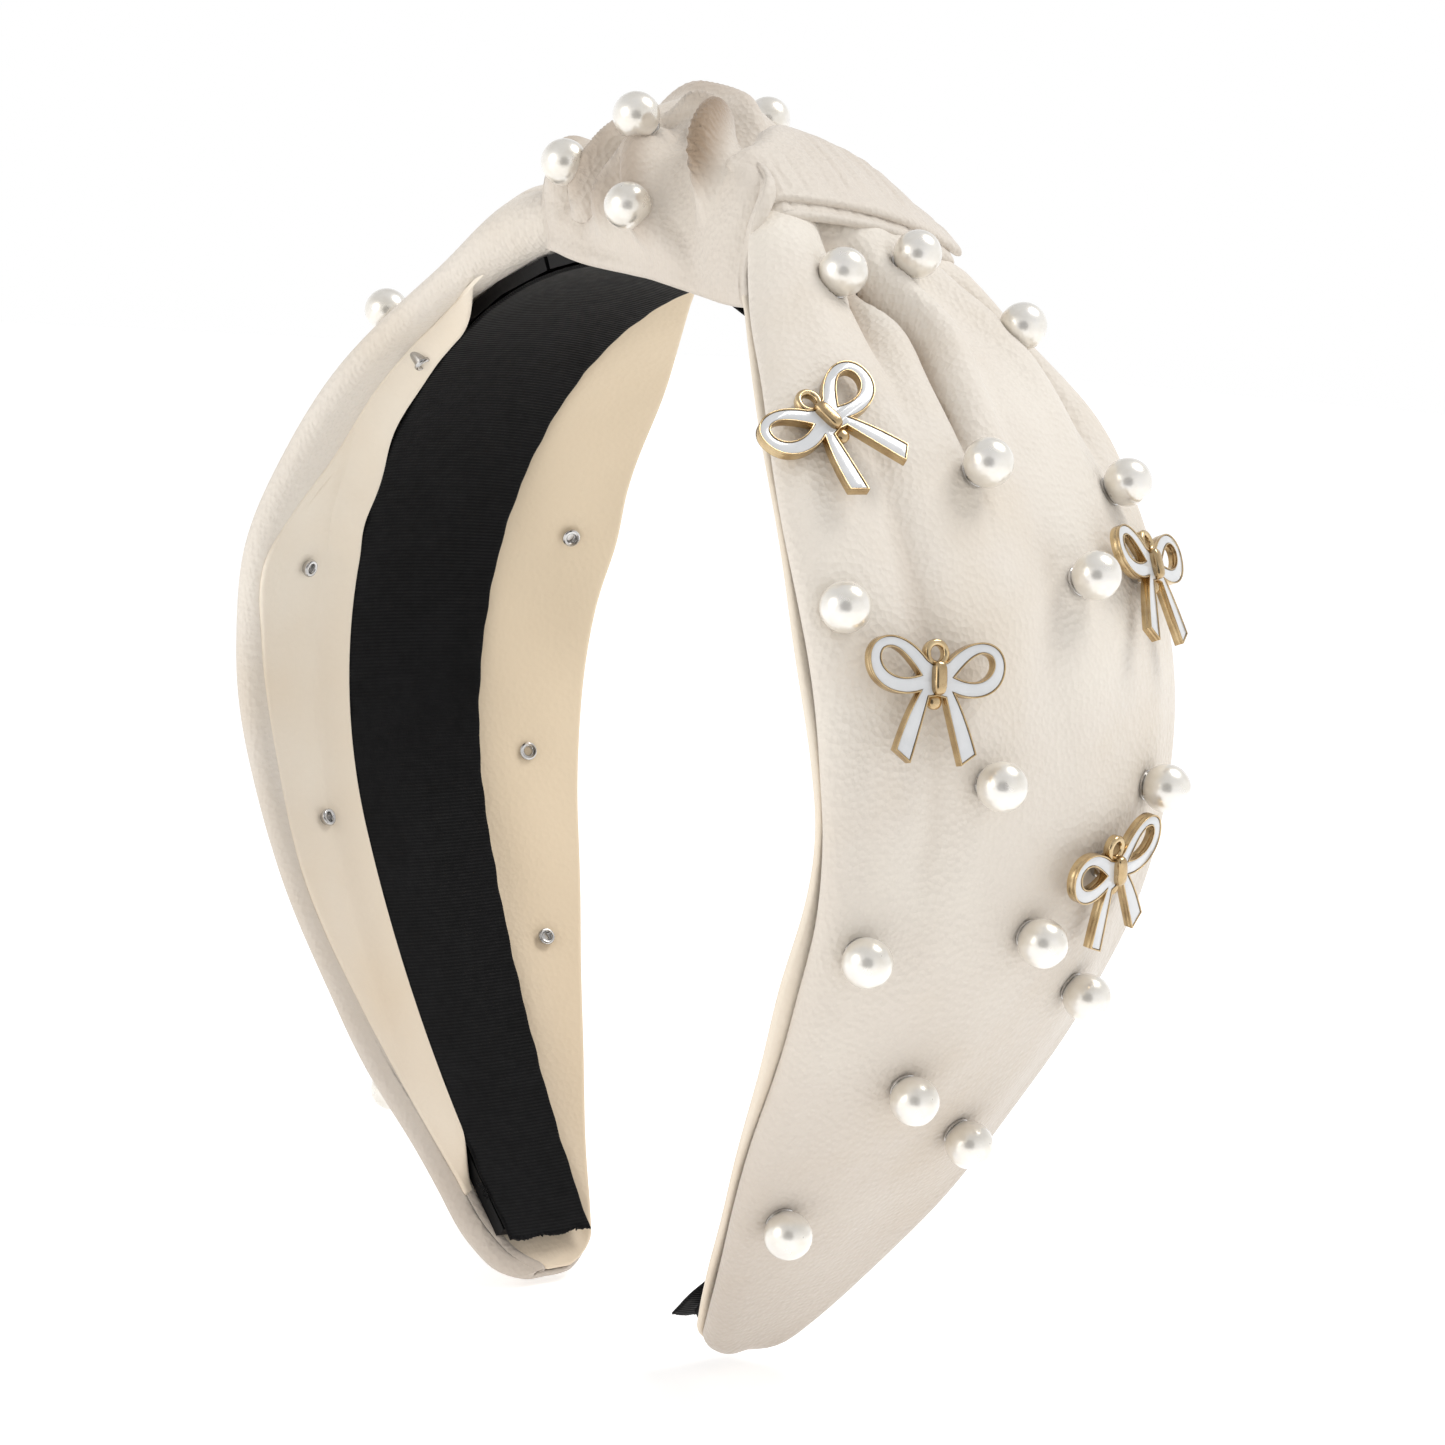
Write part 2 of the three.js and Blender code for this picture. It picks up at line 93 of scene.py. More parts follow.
def view_turn():
    """Rotation whose columns are the camera's right, up and backward directions."""
    back = Vector((
        math.sin(VIEW_AZIMUTH) * math.cos(VIEW_ELEVATION),
        -math.cos(VIEW_AZIMUTH) * math.cos(VIEW_ELEVATION),
        math.sin(VIEW_ELEVATION),
    ))
    level_right = Vector((math.cos(VIEW_AZIMUTH), math.sin(VIEW_AZIMUTH), 0))
    level_up = back.cross(level_right)
    right = level_right * math.cos(VIEW_ROLL) + level_up * math.sin(VIEW_ROLL)
    return Matrix((right, back.cross(right), back)).transposed()


def view_frame(distance):
    """A frame on the camera's axis, at a distance from what it looks at."""
    turn = view_turn()
    return Matrix.Translation(VIEW_TARGET + turn.col[2] * distance) @ turn.to_4x4()


def linked(name, data):
    made = bpy.data.objects.new(name, data)
    SCENE.collection.objects.link(made)
    return made


def add_camera():
    data = bpy.data.cameras.new("camera")
    data.lens = FOCAL_LENGTH
    data.sensor_width = SENSOR_WIDTH
    data.shift_x, data.shift_y = LENS_SHIFT
    data.clip_start = 0.01
    SCENE.camera = linked("camera", data)
    SCENE.camera.matrix_world = view_frame(VIEW_DISTANCE)


def add_area_light(name, direction, distance, size, power, colour):
    data = bpy.data.lights.new(name, "AREA")
    data.shape = "DISK"
    data.size = size
    data.energy = power
    data.color = colour
    light = linked(name, data)
    direction = (view_turn() @ Vector(direction)).normalized()
    light.location = VIEW_TARGET + direction * distance
    light.rotation_mode = "QUATERNION"
    light.rotation_quaternion = direction.to_track_quat("Z", "Y")


def set_stops(ramp, stops):
    for element, (position, colour) in zip(ramp.color_ramp.elements, stops):
        element.position = position
        element.color = colour


def add_world():
    world = bpy.data.worlds.new("studio")
    world.use_nodes = True
    SCENE.world = world
    nodes, links = world.node_tree.nodes, world.node_tree.links
    coords = nodes.new("ShaderNodeTexCoord")
    split = nodes.new("ShaderNodeSeparateXYZ")
    ramp = nodes.new("ShaderNodeValToRGB")
    set_stops(ramp, TENT_TONES)
    links.new(coords.outputs["Generated"], split.inputs[0])
    links.new(split.outputs["Z"], ramp.inputs[0])
    links.new(ramp.outputs[0], nodes["Background"].inputs["Color"])


add_camera()
add_world()
SCENE.view_settings.view_transform = "Standard"
for light_row in LIGHTS:
    add_area_light(*light_row)

# ---------- Materials ----------


def srgb(red, green, blue):
    """A colour given in 0 to 255 as the linear colour that a shader takes."""
    return tuple(
        c / 12.92 if c <= 0.04045 else ((c + 0.055) / 1.055) ** 2.4
        for c in (red / 255, green / 255, blue / 255)
    ) + (1,)


class Look:
    """A procedural material built on one Principled shader."""

    def __init__(self, name, **values):
        self.material = bpy.data.materials.new(name)
        self.material.use_nodes = True
        self.nodes = self.material.node_tree.nodes
        self.links = self.material.node_tree.links
        self.shader = self.nodes["Principled BSDF"]
        self.coords = self.nodes.new("ShaderNodeTexCoord").outputs["Object"]
        self.height = None
        for key, value in values.items():
            self.shader.inputs[key.replace("_", " ")].default_value = value

    def node(self, kind, **inputs):
        made = self.nodes.new(kind)
        for key, value in inputs.items():
            socket = made.inputs[key.replace("_", " ")]
            if isinstance(value, bpy.types.NodeSocket):
                self.links.new(value, socket)
            else:
                socket.default_value = value
        return made

    def stretched(self, scale):
        """Object coordinates stretched differently on each axis."""
        mapping = self.node("ShaderNodeMapping", Vector=self.coords)
        mapping.inputs["Scale"].default_value = scale
        return mapping.outputs[0]

    def noise(self, scale, detail=2.0, vector=None):
        return self.node(
            "ShaderNodeTexNoise", Vector=vector or self.coords, Scale=scale, Detail=detail
        ).outputs["Fac"]

    def attribute(self, name):
        made = self.nodes.new("ShaderNodeAttribute")
        made.attribute_name = name
        return made.outputs["Vector"]

    def ramp(self, factor, stops):
        made = self.node("ShaderNodeValToRGB", Fac=factor)
        for _ in stops[2:]:
            made.color_ramp.elements.new(0.5)
        set_stops(made, stops)
        return made.outputs[0]

    def share(self, value, low, high):
        """How far a value is from low to high."""
        return self.node("ShaderNodeMapRange", Value=value, From_Min=low, From_Max=high).outputs[0]

    def mixed(self, share, first, second, kind="MIX"):
        made = self.node("ShaderNodeMixRGB", Fac=share, Color1=first, Color2=second)
        made.blend_type = kind
        return made.outputs[0]

    def colour(self, socket):
        self.links.new(socket, self.shader.inputs["Base Color"])

    def roughness(self, factor, low, high):
        grade = self.node("ShaderNodeMapRange", Value=factor, To_Min=low, To_Max=high)
        self.links.new(grade.outputs[0], self.shader.inputs["Roughness"])

    def bump(self, height, distance, strength=1.0):
        """Adds a layer of relief, on top of the ones before it."""
        made = self.node("ShaderNodeBump", Height=height, Distance=distance, Strength=strength)
        if self.height is not None:
            self.links.new(self.height, made.inputs["Normal"])
        self.height = made.outputs[0]
        self.links.new(self.height, self.shader.inputs["Normal"])


def crepe_look(name, tones, grain, lower, back=None):
    """Crepe satin: fine pebble grain over a close twill, with slow changes of tone.

    Further down the arms the colour is multiplied towards its lower tone, a painted shade, and deep folds
    take a painted crease shade. A facing can have a second tone towards its back edge, where it is more
    yellowed."""
    look = Look(name, Roughness=0.58, Sheen_Weight=0.25, Sheen_Roughness=0.45, Specular_IOR_Level=0.35)
    cloth = look.node("ShaderNodeSeparateXYZ", Vector=look.attribute("cloth")).outputs
    colour = look.ramp(look.noise(45, 3), list(zip((0.3, 0.5, 0.72), tones)))
    if back is not None:
        colour = look.mixed(look.share(cloth["Y"], -16.0, 16.0), colour, back)
    # Painted shade: from 80 to 180 mm along the arm the colour is multiplied towards the lower tone, so the
    # cloth darkens towards the tips.
    colour = look.mixed(look.share(cloth["X"], 80.0, 180.0), colour, lower, "MULTIPLY")
    # Painted crease shade: deep folds darken by the cloth attribute's third value.
    look.colour(look.mixed(cloth["Z"], colour, CREASE_SHADE, "MULTIPLY"))
    pebble = look.node("ShaderNodeTexVoronoi", Vector=look.coords, Scale=1250).outputs["Distance"]
    twill = look.node("ShaderNodeTexWave", Vector=look.stretched((1, 1, 0.55)), Scale=620, Distortion=2.5)
    look.roughness(look.noise(900, 2), 0.48, 0.7)
    look.bump(pebble, 0.00012 * grain, 0.75)
    look.bump(twill.outputs["Fac"], 0.00003 * grain, 0.4)
    look.bump(look.noise(2600, 1), 0.00003 * grain, 0.5)
    return look.material


def ribbon_look():
    """Black grosgrain: ribs across the ribbon, and the odd speck of lint."""
    look = Look(
        "ribbon_black", Roughness=0.7, Sheen_Weight=0.03, Sheen_Roughness=0.4, Specular_IOR_Level=0.12,
    )
    ribs = look.node("ShaderNodeTexWave", Vector=look.attribute("cloth"), Scale=0.62)
    ribs.bands_direction = "X"
    look.colour(look.ramp(look.noise(160, 4), [(0.35, srgb(3, 3, 4)), (0.7, srgb(9, 9, 11))]))
    look.roughness(look.noise(700, 2), 0.5, 0.75)
    look.bump(ribs.outputs["Fac"], 0.0001, 0.6)
    look.bump(look.noise(3000, 2), 0.00008, 0.5)
    return look.material


def hard_look(name, cloud, stops, gloss, rough, relief, grain=(1, 1, 1), **values):
    """A hard surface. Its tones, gloss and relief each have a noise, given as scale and detail."""
    look = Look(name, **values)
    look.colour(look.ramp(look.noise(*cloud), stops))
    look.roughness(look.noise(*gloss), *rough)
    look.bump(look.noise(*relief[:2], look.stretched(grain)), *relief[2:])
    return look.material


def metal_look(name, dull, bright, rough):
    return hard_look(
        name, (420, 4), [(0.3, dull), (0.7, bright)], (800, 4), rough, (1200, 2, 0.00002, 0.35),
        grain=(1, 1, 0.15), Metallic=1.0,
    )


# Warm, middle and light tones.
CREAM_TONES = srgb(217, 207, 193), srgb(221, 213, 202), srgb(225, 218, 207)
FACING_TONES = srgb(229, 215, 194), srgb(231, 220, 203), srgb(234, 225, 210)
FACING_BACK = srgb(231, 213, 185)
# Painted shade that is multiplied into the cloth's colour where its folds are deep.
CREASE_SHADE = (0.5, 0.4, 0.31, 1)

LOOKS = {
    # After the grain strength comes the painted shade that the cloth darkens to down the arms, then the
    # facing's back tone.
    "cream_satin": crepe_look("crepe_cream", CREAM_TONES, 1.6, (0.7, 0.66, 0.635, 1)),
    "facing_satin": crepe_look("crepe_facing", FACING_TONES, 0.55, (0.93, 0.9, 0.88, 1), FACING_BACK),
    "black_ribbon": ribbon_look(),
    "hoop_plastic": hard_look(
        "hoop_black_plastic", (90, 3), [(0.3, srgb(8, 8, 9)), (0.7, srgb(15, 15, 16))],
        (350, 3), (0.34, 0.52), (1400, 3, 0.00004, 0.6), Specular_IOR_Level=0.2,
    ),
    # Nacre: a warm body under a clear glaze, with faint clouding.
    "pearl": hard_look(
        "pearl_nacre", (380, 3),
        [(0.3, srgb(226, 220, 208)), (0.55, srgb(238, 234, 226)), (0.8, srgb(232, 230, 228))],
        (500, 2), (0.24, 0.34), (1500, 2, 0.00003, 0.4), Metallic=0.6, Specular_IOR_Level=0.9,
        Coat_Weight=1.0, Coat_Roughness=0.05, Coat_IOR=1.7,
    ),
    "silver_rivet": metal_look("rivet_silver", srgb(176, 174, 172), srgb(222, 221, 220), (0.16, 0.3)),
    "bow_gold": metal_look("gold_pale", srgb(176, 150, 112), srgb(216, 193, 152), (0.14, 0.28)),
    "white_enamel": hard_look(
        "enamel_white", (260, 3), [(0.3, srgb(198, 200, 202)), (0.7, srgb(212, 213, 214))],
        (600, 2), (0.16, 0.3), (500, 1, 0.00004, 0.5), Coat_Weight=0.9, Coat_Roughness=0.04,
    ),
}

# ---------- Turning points into meshes ----------


def mesh_object(name, points, faces, slot, attribute=None, sharp_angle=None):
    """A closed mesh from points in millimetres. Points that fall together are joined."""
    mesh = bpy.data.meshes.new(name)
    mesh.from_pydata((np.asarray(points) * MM).tolist(), [], faces)
    if attribute is not None:
        layer = mesh.attributes.new("cloth", "FLOAT_VECTOR", "POINT")
        layer.data.foreach_set("vector", np.asarray(attribute, np.float32).ravel())
    work = bmesh.new()
    work.from_mesh(mesh)
    bmesh.ops.remove_doubles(work, verts=work.verts, dist=1e-6)
    bmesh.ops.recalc_face_normals(work, faces=work.faces)
    work.to_mesh(mesh)
    work.free()
    return dressed(mesh, name, slot, sharp_angle)


def dressed(mesh, name, slot, sharp_angle=None):
    """An object for a finished mesh, smooth, in the look of its slot."""
    mesh.polygons.foreach_set("use_smooth", [True] * len(mesh.polygons))
    if sharp_angle:
        mesh.set_sharp_from_angle(angle=math.radians(sharp_angle))
    mesh.materials.clear()
    mesh.materials.append(LOOKS[slot])
    made = linked(name, mesh)
    return made


def full_turn(count):
    """Angles evenly round a circle."""
    return np.arange(count) * 2 * math.pi / count


def ring_faces(rows, columns, closed=False):
    """Faces between rings of points, one row a ring. A closed run joins its last ring to its first."""
    index = np.arange(rows * columns).reshape(rows, columns)
    if closed:
        index = np.concatenate([index, index[:1]])
    beside = np.roll(index, -1, 1)
    return np.stack([index[:-1], beside[:-1], beside[1:], index[1:]], -1).reshape(-1, 4)


def grid_faces(rows, columns, offset, flipped):
    first = np.arange(rows - 1)[:, None] * columns + np.arange(columns - 1)[None, :] + offset
    quad = np.stack([first, first + 1, first + columns + 1, first + columns], -1).reshape(-1, 4)
    return (quad[:, ::-1] if flipped else quad).tolist()


def sheet_object(name, centre, thickness, slot, cloth):
    """A sheet of cloth from its middle surface, a grid of points, and its thickness at each."""
    rows, columns = centre.shape[:2]
    normal = np.cross(np.gradient(centre, axis=0), np.gradient(centre, axis=1))
    normal /= np.maximum(np.linalg.norm(normal, axis=-1, keepdims=True), 1e-9)
    half = normal * (thickness / 2)[..., None]
    points = np.concatenate([(centre + half).reshape(-1, 3), (centre - half).reshape(-1, 3)])
    count = rows * columns
    faces = grid_faces(rows, columns, 0, True) + grid_faces(rows, columns, count, False)
    index = np.arange(count).reshape(rows, columns)
    border = np.concatenate([index[0], index[1:, -1], index[-1, -2::-1], index[-2:0:-1, 0]])
    following = np.roll(border, -1)
    faces += np.stack([border, following, following + count, border + count], -1).tolist()
    return mesh_object(name, points, faces, slot, np.tile(cloth.reshape(-1, 3), (2, 1)))


def rounded(distance, radius):
    """Thickness share at a distance from a rounded edge."""
    inside = np.clip(distance / radius, 0, 1)
    return np.sqrt(np.clip(1 - (1 - inside) ** 2, 0, 1))


def spread_columns(low, high, rim, count):
    """Positions from low to high, closer together within rim of each end."""
    edge = rim * (1 - np.cos(np.linspace(0, math.pi / 2, 6)))[:-1]
    low, high = np.asarray(low)[..., None], np.asarray(high)[..., None]
    middle = low + rim + (high - low - 2 * rim) * np.linspace(0, 1, count)
    return np.concatenate([low + edge, middle, (high - edge)[..., ::-1]], -1)


def lathe_object(name, profile, segments, slot, matrix):
    """A turned piece about Z. The profile is radius and height, from the axis back to the axis."""
    profile = np.array(profile, float)
    turn = full_turn(segments)
    ring = np.stack([np.cos(turn), np.sin(turn)], -1)
    points = np.concatenate([
        profile[:, None, :1] * ring[None], np.repeat(profile[:, None, 1:], segments, 1),
    ], -1)
    faces = ring_faces(len(profile), segments).tolist()
    made = mesh_object(name, points.reshape(-1, 3), faces, slot, sharp_angle=TURNED_SHARP_ANGLE)
    made.matrix_world = matrix
    return made


# ---------- The curved frame that the CAD layers follow ----------

CROWN_RADIUS = 58.5
CROWN_ARC = 117
ARM_RADIUS = 190
CROSS_RADIUS = 70
RIBBON_END = 179
SLEEVE_END = {"left": 183, "right": 179.8}
SLEEVE_START = 9.5
SEAT_LIFT = 0.226
SIDES = {"left": -1, "right": 1}
PUFF_HEIGHT = {"left": 5, "right": 11}
# Level of the middle of each facing, over the hoop.
FACING_MIDDLE = 3.75
# Where the lip leaves the facing.
LIP_ROOT = 3.0

OUTLINE = {
    "right": [
        (8, 9.6, 11), (16, 10.2, 13), (21, 11.8, 16), (25, 14.8, 19), (31, 18, 22), (45, 23.6, 29),
        (70, 27.6, 33), (90, 26.2, 33), (97, 24.9, 32.4), (107, 23.6, 31), (118, 23, 29.4),
        (135, 20.6, 24), (156, 15.2, 16), (166, 11.8, 11.4), (176, 7.8, 6.9), (181.5, 5.4, 4),
    ],
    "left": [
        (8, 10.5, 11), (17, 13, 14.6), (26, 17, 19), (45, 22.6, 27), (61, 26.4, 29.4), (77, 29.8, 29.6),
        (90, 28.4, 29), (107, 26, 27.4), (124, 23.4, 24.6), (143, 17.8, 20), (168, 10, 12.2),
        (176, 8.2, 9.4), (180, 6.2, 8), (184, 3.4, 6.4),
    ],
}


def smooth(value):
    value = np.clip(value, 0, 1)
    return value * value * (3 - 2 * value)


def curve_through(stations, values, at):
    """A smooth curve through given values, without overshoot at the ends."""
    stations, values = np.array(stations, float), np.array(values, float)
    slopes = np.gradient(values, stations)
    at = np.clip(np.asarray(at, float), stations[0], stations[-1])
    i = np.clip(np.searchsorted(stations, at) - 1, 0, len(stations) - 2)
    span = stations[i + 1] - stations[i]
    t = (at - stations[i]) / span
    value = (2 * t**3 - 3 * t**2 + 1) * values[i] + (3 * t**2 - 2 * t**3) * values[i + 1]
    return value + span * ((t**3 - 2 * t**2 + t) * slopes[i] + (t**3 - t**2) * slopes[i + 1])


def place(side, along, across, level):
    """The CAD's own curved frame: along the arm, across it, and level outwards."""
    along, across, level = np.broadcast_arrays(
        np.asarray(along, float), np.asarray(across, float), np.asarray(level, float)
    )
    crown = np.minimum(along, CROWN_ARC) / CROWN_RADIUS
    angle = crown + np.maximum(along - CROWN_ARC, 0) / ARM_RADIUS
    x = CROWN_RADIUS * np.sin(crown) + ARM_RADIUS * (np.sin(angle) - np.sin(crown))
    z = CROWN_RADIUS * (np.cos(crown) - 1) + ARM_RADIUS * (np.cos(angle) - np.cos(crown))
    turn = across / CROSS_RADIUS
    out = (CROSS_RADIUS + level) * np.cos(turn) - CROSS_RADIUS
    return np.stack([
        side * (x + np.sin(angle) * out),
        (CROSS_RADIUS + level) * np.sin(turn),
        z + np.cos(angle) * out + SEAT_LIFT,
    ], -1)


def half_width(name, along, edge):
    """Half width of a sleeve at its front (0) or back (1) edge, rounded off at the tip."""
    stations = [row[0] for row in OUTLINE[name]]
    value = curve_through(stations, [row[1 + edge] for row in OUTLINE[name]], along)
    near_tip = np.clip((along - (SLEEVE_END[name] - 4)) / 4.6, 0, 1)
    return value * np.sqrt(1 - near_tip**2)


def hoop_half_width(along):
    return 13 - 6.4 * (np.abs(along) / RIBBON_END) ** 2.2


def panel_level(name, along, fraction):
    """Middle of the outer panel's thickness, before its folds."""
    puff = PUFF_HEIGHT[name] * np.exp(-(((along - 16) / 10) ** 2)) * (1 - 0.5 * smooth(fraction / 0.9))
    return 5.45 + 1.2 * (1 - fraction**4) + 0.85 * puff


def fold(along, across, path, width):
    """Height of a fold that runs along a path of (along, across, height), with a soft section.

    Width is one number, or one for each side of the path."""
    path = np.array(path, float)
    steps = np.arange(len(path))
    fine = np.linspace(0, len(path) - 1, 6 * len(path))
    spine = np.stack([curve_through(steps, path[:, k], fine) for k in range(3)], -1)
    nearest = np.full(np.shape(along), 1e9)
    height = np.zeros(np.shape(along))
    beside = np.zeros(np.shape(along))
    for start, end in zip(spine[:-1], spine[1:]):
        run = end[:2] - start[:2]
        offset = along - start[0], across - start[1]
        t = np.clip((offset[0] * run[0] + offset[1] * run[1]) / max(run @ run, 1e-9), 0, 1)
        distance = np.hypot(offset[0] - t * run[0], offset[1] - t * run[1])
        closer = distance < nearest
        nearest = np.where(closer, distance, nearest)
        height = np.where(closer, start[2] + t * (end[2] - start[2]), height)
        beside = np.where(closer, offset[1] * run[0] - offset[0] * run[1], beside)
    left, right = width if isinstance(width, tuple) else (width, width)
    spread = np.where(beside > 0, left, right)
    return height * np.exp(-((nearest / spread) ** 2))


def ripples(along, across, seed, size, amount):
    """Slow uneven waves in cloth, the same on every run."""
    source = np.random.RandomState(seed)
    total = np.zeros(np.shape(along))
    for _ in range(9):
        angle = source.uniform(-0.6, 0.6)
        length = size * source.uniform(0.7, 1.9)
        phase = source.uniform(0, 2 * math.pi)
        run = across * math.cos(angle) + along * math.sin(angle)
        total += np.sin(2 * math.pi * run / length + phase + 0.8 * np.sin(along / size + phase))
    return amount * total / 3


# ---------- Where the CAD's studs and bows are ----------


def unique_points(node):
    data = frame["nodes"][node].data
    points = np.zeros(len(data.vertices) * 3)
    data.vertices.foreach_get("co", points)
    return np.unique(np.round(points.reshape(-1, 3) / MM, 3), axis=0)


def turned_axis(node, inside):
    """Middle, outward axis and reach of a turned CAD node, from its own points."""
    points = unique_points(node)
    middle = points.mean(0)
    axis = np.linalg.svd(points - middle)[2][0]
    if axis @ (middle - np.array(inside)) < 0:
        axis = -axis
    reach = (points - middle) @ axis
    return middle, axis, reach.min(), reach.max()


def facing_matrix(origin, axis, upward=None):
    """A frame with Z along the axis, at an origin in millimetres."""
    axis = Vector(axis).normalized()
    guide = Vector(upward) if upward is not None else Vector((0, 0, 1))
    sideways = guide.cross(axis).normalized()
    matrix = Matrix((sideways, axis.cross(sideways), axis)).transposed().to_4x4()
    return Matrix.Translation(Vector(origin) * MM) @ matrix


HEAD_MIDDLE = (0, 0, -60)
KNOT_MIDDLE = (0, 0, 4)
PEARL_TOP = 5.748
FLANGE_THICKNESS = 0.5

STUDS = {}
for node_name in sorted(frame["nodes"]):
    if node_name.startswith("pearl_"):
        inside_point = KNOT_MIDDLE if "knot" in node_name else HEAD_MIDDLE
        node_middle, node_axis, lowest, highest = turned_axis(node_name, inside_point)
        STUDS[node_name] = {
            "axis": node_axis,
            "seat": node_middle + node_axis * (highest - PEARL_TOP),
            "depth": highest - PEARL_TOP - lowest - FLANGE_THICKNESS,
        }

BOWS = {}
for joint in frame["joints"]:
    if joint["name"].startswith("bow_"):
        bow_name = joint["name"].replace("_swivel", "")
        bow_axis = np.array(joint["axis"], float)
        pivot = np.array(joint["pos_m"], float) / MM
        reach_out = (unique_points(bow_name) - pivot) @ bow_axis
        seat = pivot + bow_axis * (reach_out.min() - 1.2)
        flat = unique_points(bow_name) - seat
        flat -= np.outer(flat @ bow_axis, bow_axis)
        distance = np.linalg.norm(flat, axis=1)
        tails = flat[distance > distance.max() - 0.4].mean(0)
        BOWS[bow_name] = {"axis": bow_axis, "seat": seat, "up": -tails, "body": joint["child"]}


def from_axis(points, seat_point, axis):
    """Height of points above a seat, and how far they are from its axis."""
    offset = points - seat_point
    height = offset @ axis
    return height, np.linalg.norm(offset - height[..., None] * axis, axis=-1)


def settle_to_studs(points, normal_offset, prefix, reach=2.5, dimple=0.35):
    """Fades folds out round each stud and post, and draws the cloth in a little there."""
    kept = normal_offset.copy()
    for name, mark in [*STUDS.items(), *BOWS.items()]:
        if prefix not in name:
            continue
        height, sideways = from_axis(points, mark["seat"], mark["axis"])
        on_this_side = np.abs(height) < SAME_SIDE
        kept *= 1 - np.exp(-((sideways / reach) ** 4)) * on_this_side
        kept -= dimple * np.exp(-((sideways / 2.4) ** 2)) * on_this_side
    return kept


# ---------- Sleeves: an outer panel and an inner facing on each arm ----------

PANEL_THICKNESS = 1.4
FACING_THICKNESS = 1.0
LIP_THICKNESS = 0.8
# The lip's two ends along the arm.
LIP_REACH = (21.4, 171)
PLEAT_THICKNESS = 1.3
RIBBON_THICKNESS = 0.55
KNOT_THICKNESS = 2
# Painted crease shade: a fold's colour darkens from this depth, fully once it is deeper by the second.
CREASE_FROM = 0.9
CREASE_DEPTH = 3.4
# A stud bears on cloth this near it, and not on the other side of the band.
SAME_SIDE = 9
# A rivet under the rolled edge is this much shorter, so it ends inside the roll.
ROLLED_EDGE_EXTRA = -1.8

PANEL_FOLDS = {
    "right": [
        ([(22.5, -10.5, 0), (27, -11, 2.6), (34, -12.5, 2.2), (46, -17, 1.1), (64, -21, 0)], (3.6, 4.6)),
        ([(22, -4.6, -1), (28, -4.9, -3.4), (35, -6, -2.8), (43, -7.6, -1.4), (54, -9, 0)], (2.4, 1.4)),
        ([(25, -1.6, -1), (31, -1, -4.2), (38, 0.8, -5), (46, -0.6, -3.6), (54, -1.2, -1.6), (66, -3, 0)],
         (0.8, 1.7)),
        ([(26, 2.2, 0.8), (32, 2, 1.8), (39, 3.6, 2.4), (47, 2.4, 1.9), (57, 2, 0)], 2),
        ([(25, 8, 1), (31, 11.4, 1.8), (38, 14.5, 2), (47, 16.5, 1.3), (62, 17, 0)], 2.8),
        ([(24, 11.8, -1), (28, 14.2, -2.8), (33, 18.9, -3.6), (39, 21.7, -2.6), (49, 24, -1.2), (64, 25, 0)],
         (1.2, 2.4)),
        ([(26, 18, 0.9), (33, 24, 1.6), (43, 28, 1), (56, 30, 0)], 2.4),
        ([(48, -15.5, 0), (60, -14.6, -1.3), (78, -13.6, -1.4), (98, -12.4, -1.2), (116, -12, 0)], (2.2, 4)),
        ([(50, 8, 0), (66, 6, -0.9), (84, 4, -0.9), (104, 4, 0)], 4.5),
        ([(84, -20, 0), (97, -21, -0.8), (108, -20, 0)], (2.5, 2)),
    ],
    "left": [
        ([(19, -10, 1), (27, -11, 1.6), (38, -14, 1), (58, -19, 0)], 4),
        ([(20, -4, -0.8), (28, -5, -1.7), (38, -7, -1.1), (54, -9, 0)], (2.2, 1.4)),
        ([(20, 2, 0.7), (30, 3, 1.2), (44, 5, 0.6), (58, 6, 0)], 3),
        ([(20, 8, -0.8), (29, 10.5, -1.8), (40, 14, -1.2), (56, 16, 0)], (1.4, 2.4)),
        ([(20, 13, 0.7), (30, 17, 1.2), (42, 22, 0.6), (56, 25, 0)], 3),
        ([(60, -10, 0), (78, -8, -0.7), (100, -7, 0)], 5),
    ],
}


def station_list(start, end, spacing, rim):
    """Stations along an arm, close together at the tip."""
    count = int((end - start) / spacing)
    tip = rim * (1 - np.cos(np.linspace(0, math.pi / 2, 9)))
    body = start + (end - rim - start) * np.linspace(0, 1, count)
    return np.concatenate([body, (end - tip)[::-1][1:]])


def blend_to_arm(piece):
    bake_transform(piece)


def arm_sheet(title, name, along, across, level, thickness, slot, shade=None, painted_crease_shade=0):
    """A sheet in an arm's curved frame. Its cloth takes its painted shade from its place along the arm,
    unless a shade is given.
    """
    shade = along if shade is None else np.full(along.shape, shade)
    cloth = np.stack(np.broadcast_arrays(shade, across, painted_crease_shade), -1)
    return sheet_object(title, place(SIDES[name], along, across, level), thickness, slot, cloth)


def sleeve_grid(name, spacing, rim):
    """Stations along a sleeve and how near its tip each one is."""
    along = station_list(SLEEVE_START, SLEEVE_END[name], spacing, rim)
    return along, SLEEVE_END[name] - along[:, None]


def from_edges(across, front, back):
    return np.minimum(across - front[:, None], back[:, None] - across)


def panel_offset(name, along, across):
    """Folds and ripples of the outer panel."""
    total = np.zeros(np.shape(along))
    for path, width in PANEL_FOLDS[name]:
        total += fold(along, across, path, width)
    seed = 4 if name == "right" else 9
    fade = smooth((along - 20) / 30) * (0.45 + 0.55 * smooth((SLEEVE_END[name] - along) / 30))
    return total + ripples(along, across, seed, 24, 0.3) * fade


def seam_distance(along):
    """How far the left panel's front edge is turned in, on the inner side."""
    stations = [8, 33, 49, 63, 70, 76, 90, 106, 125, 150, 184]
    return curve_through(stations, [4.4, 5, 6.4, 6.8, 4, 2, 2.2, 2.8, 2.2, 1.8, 1], along)


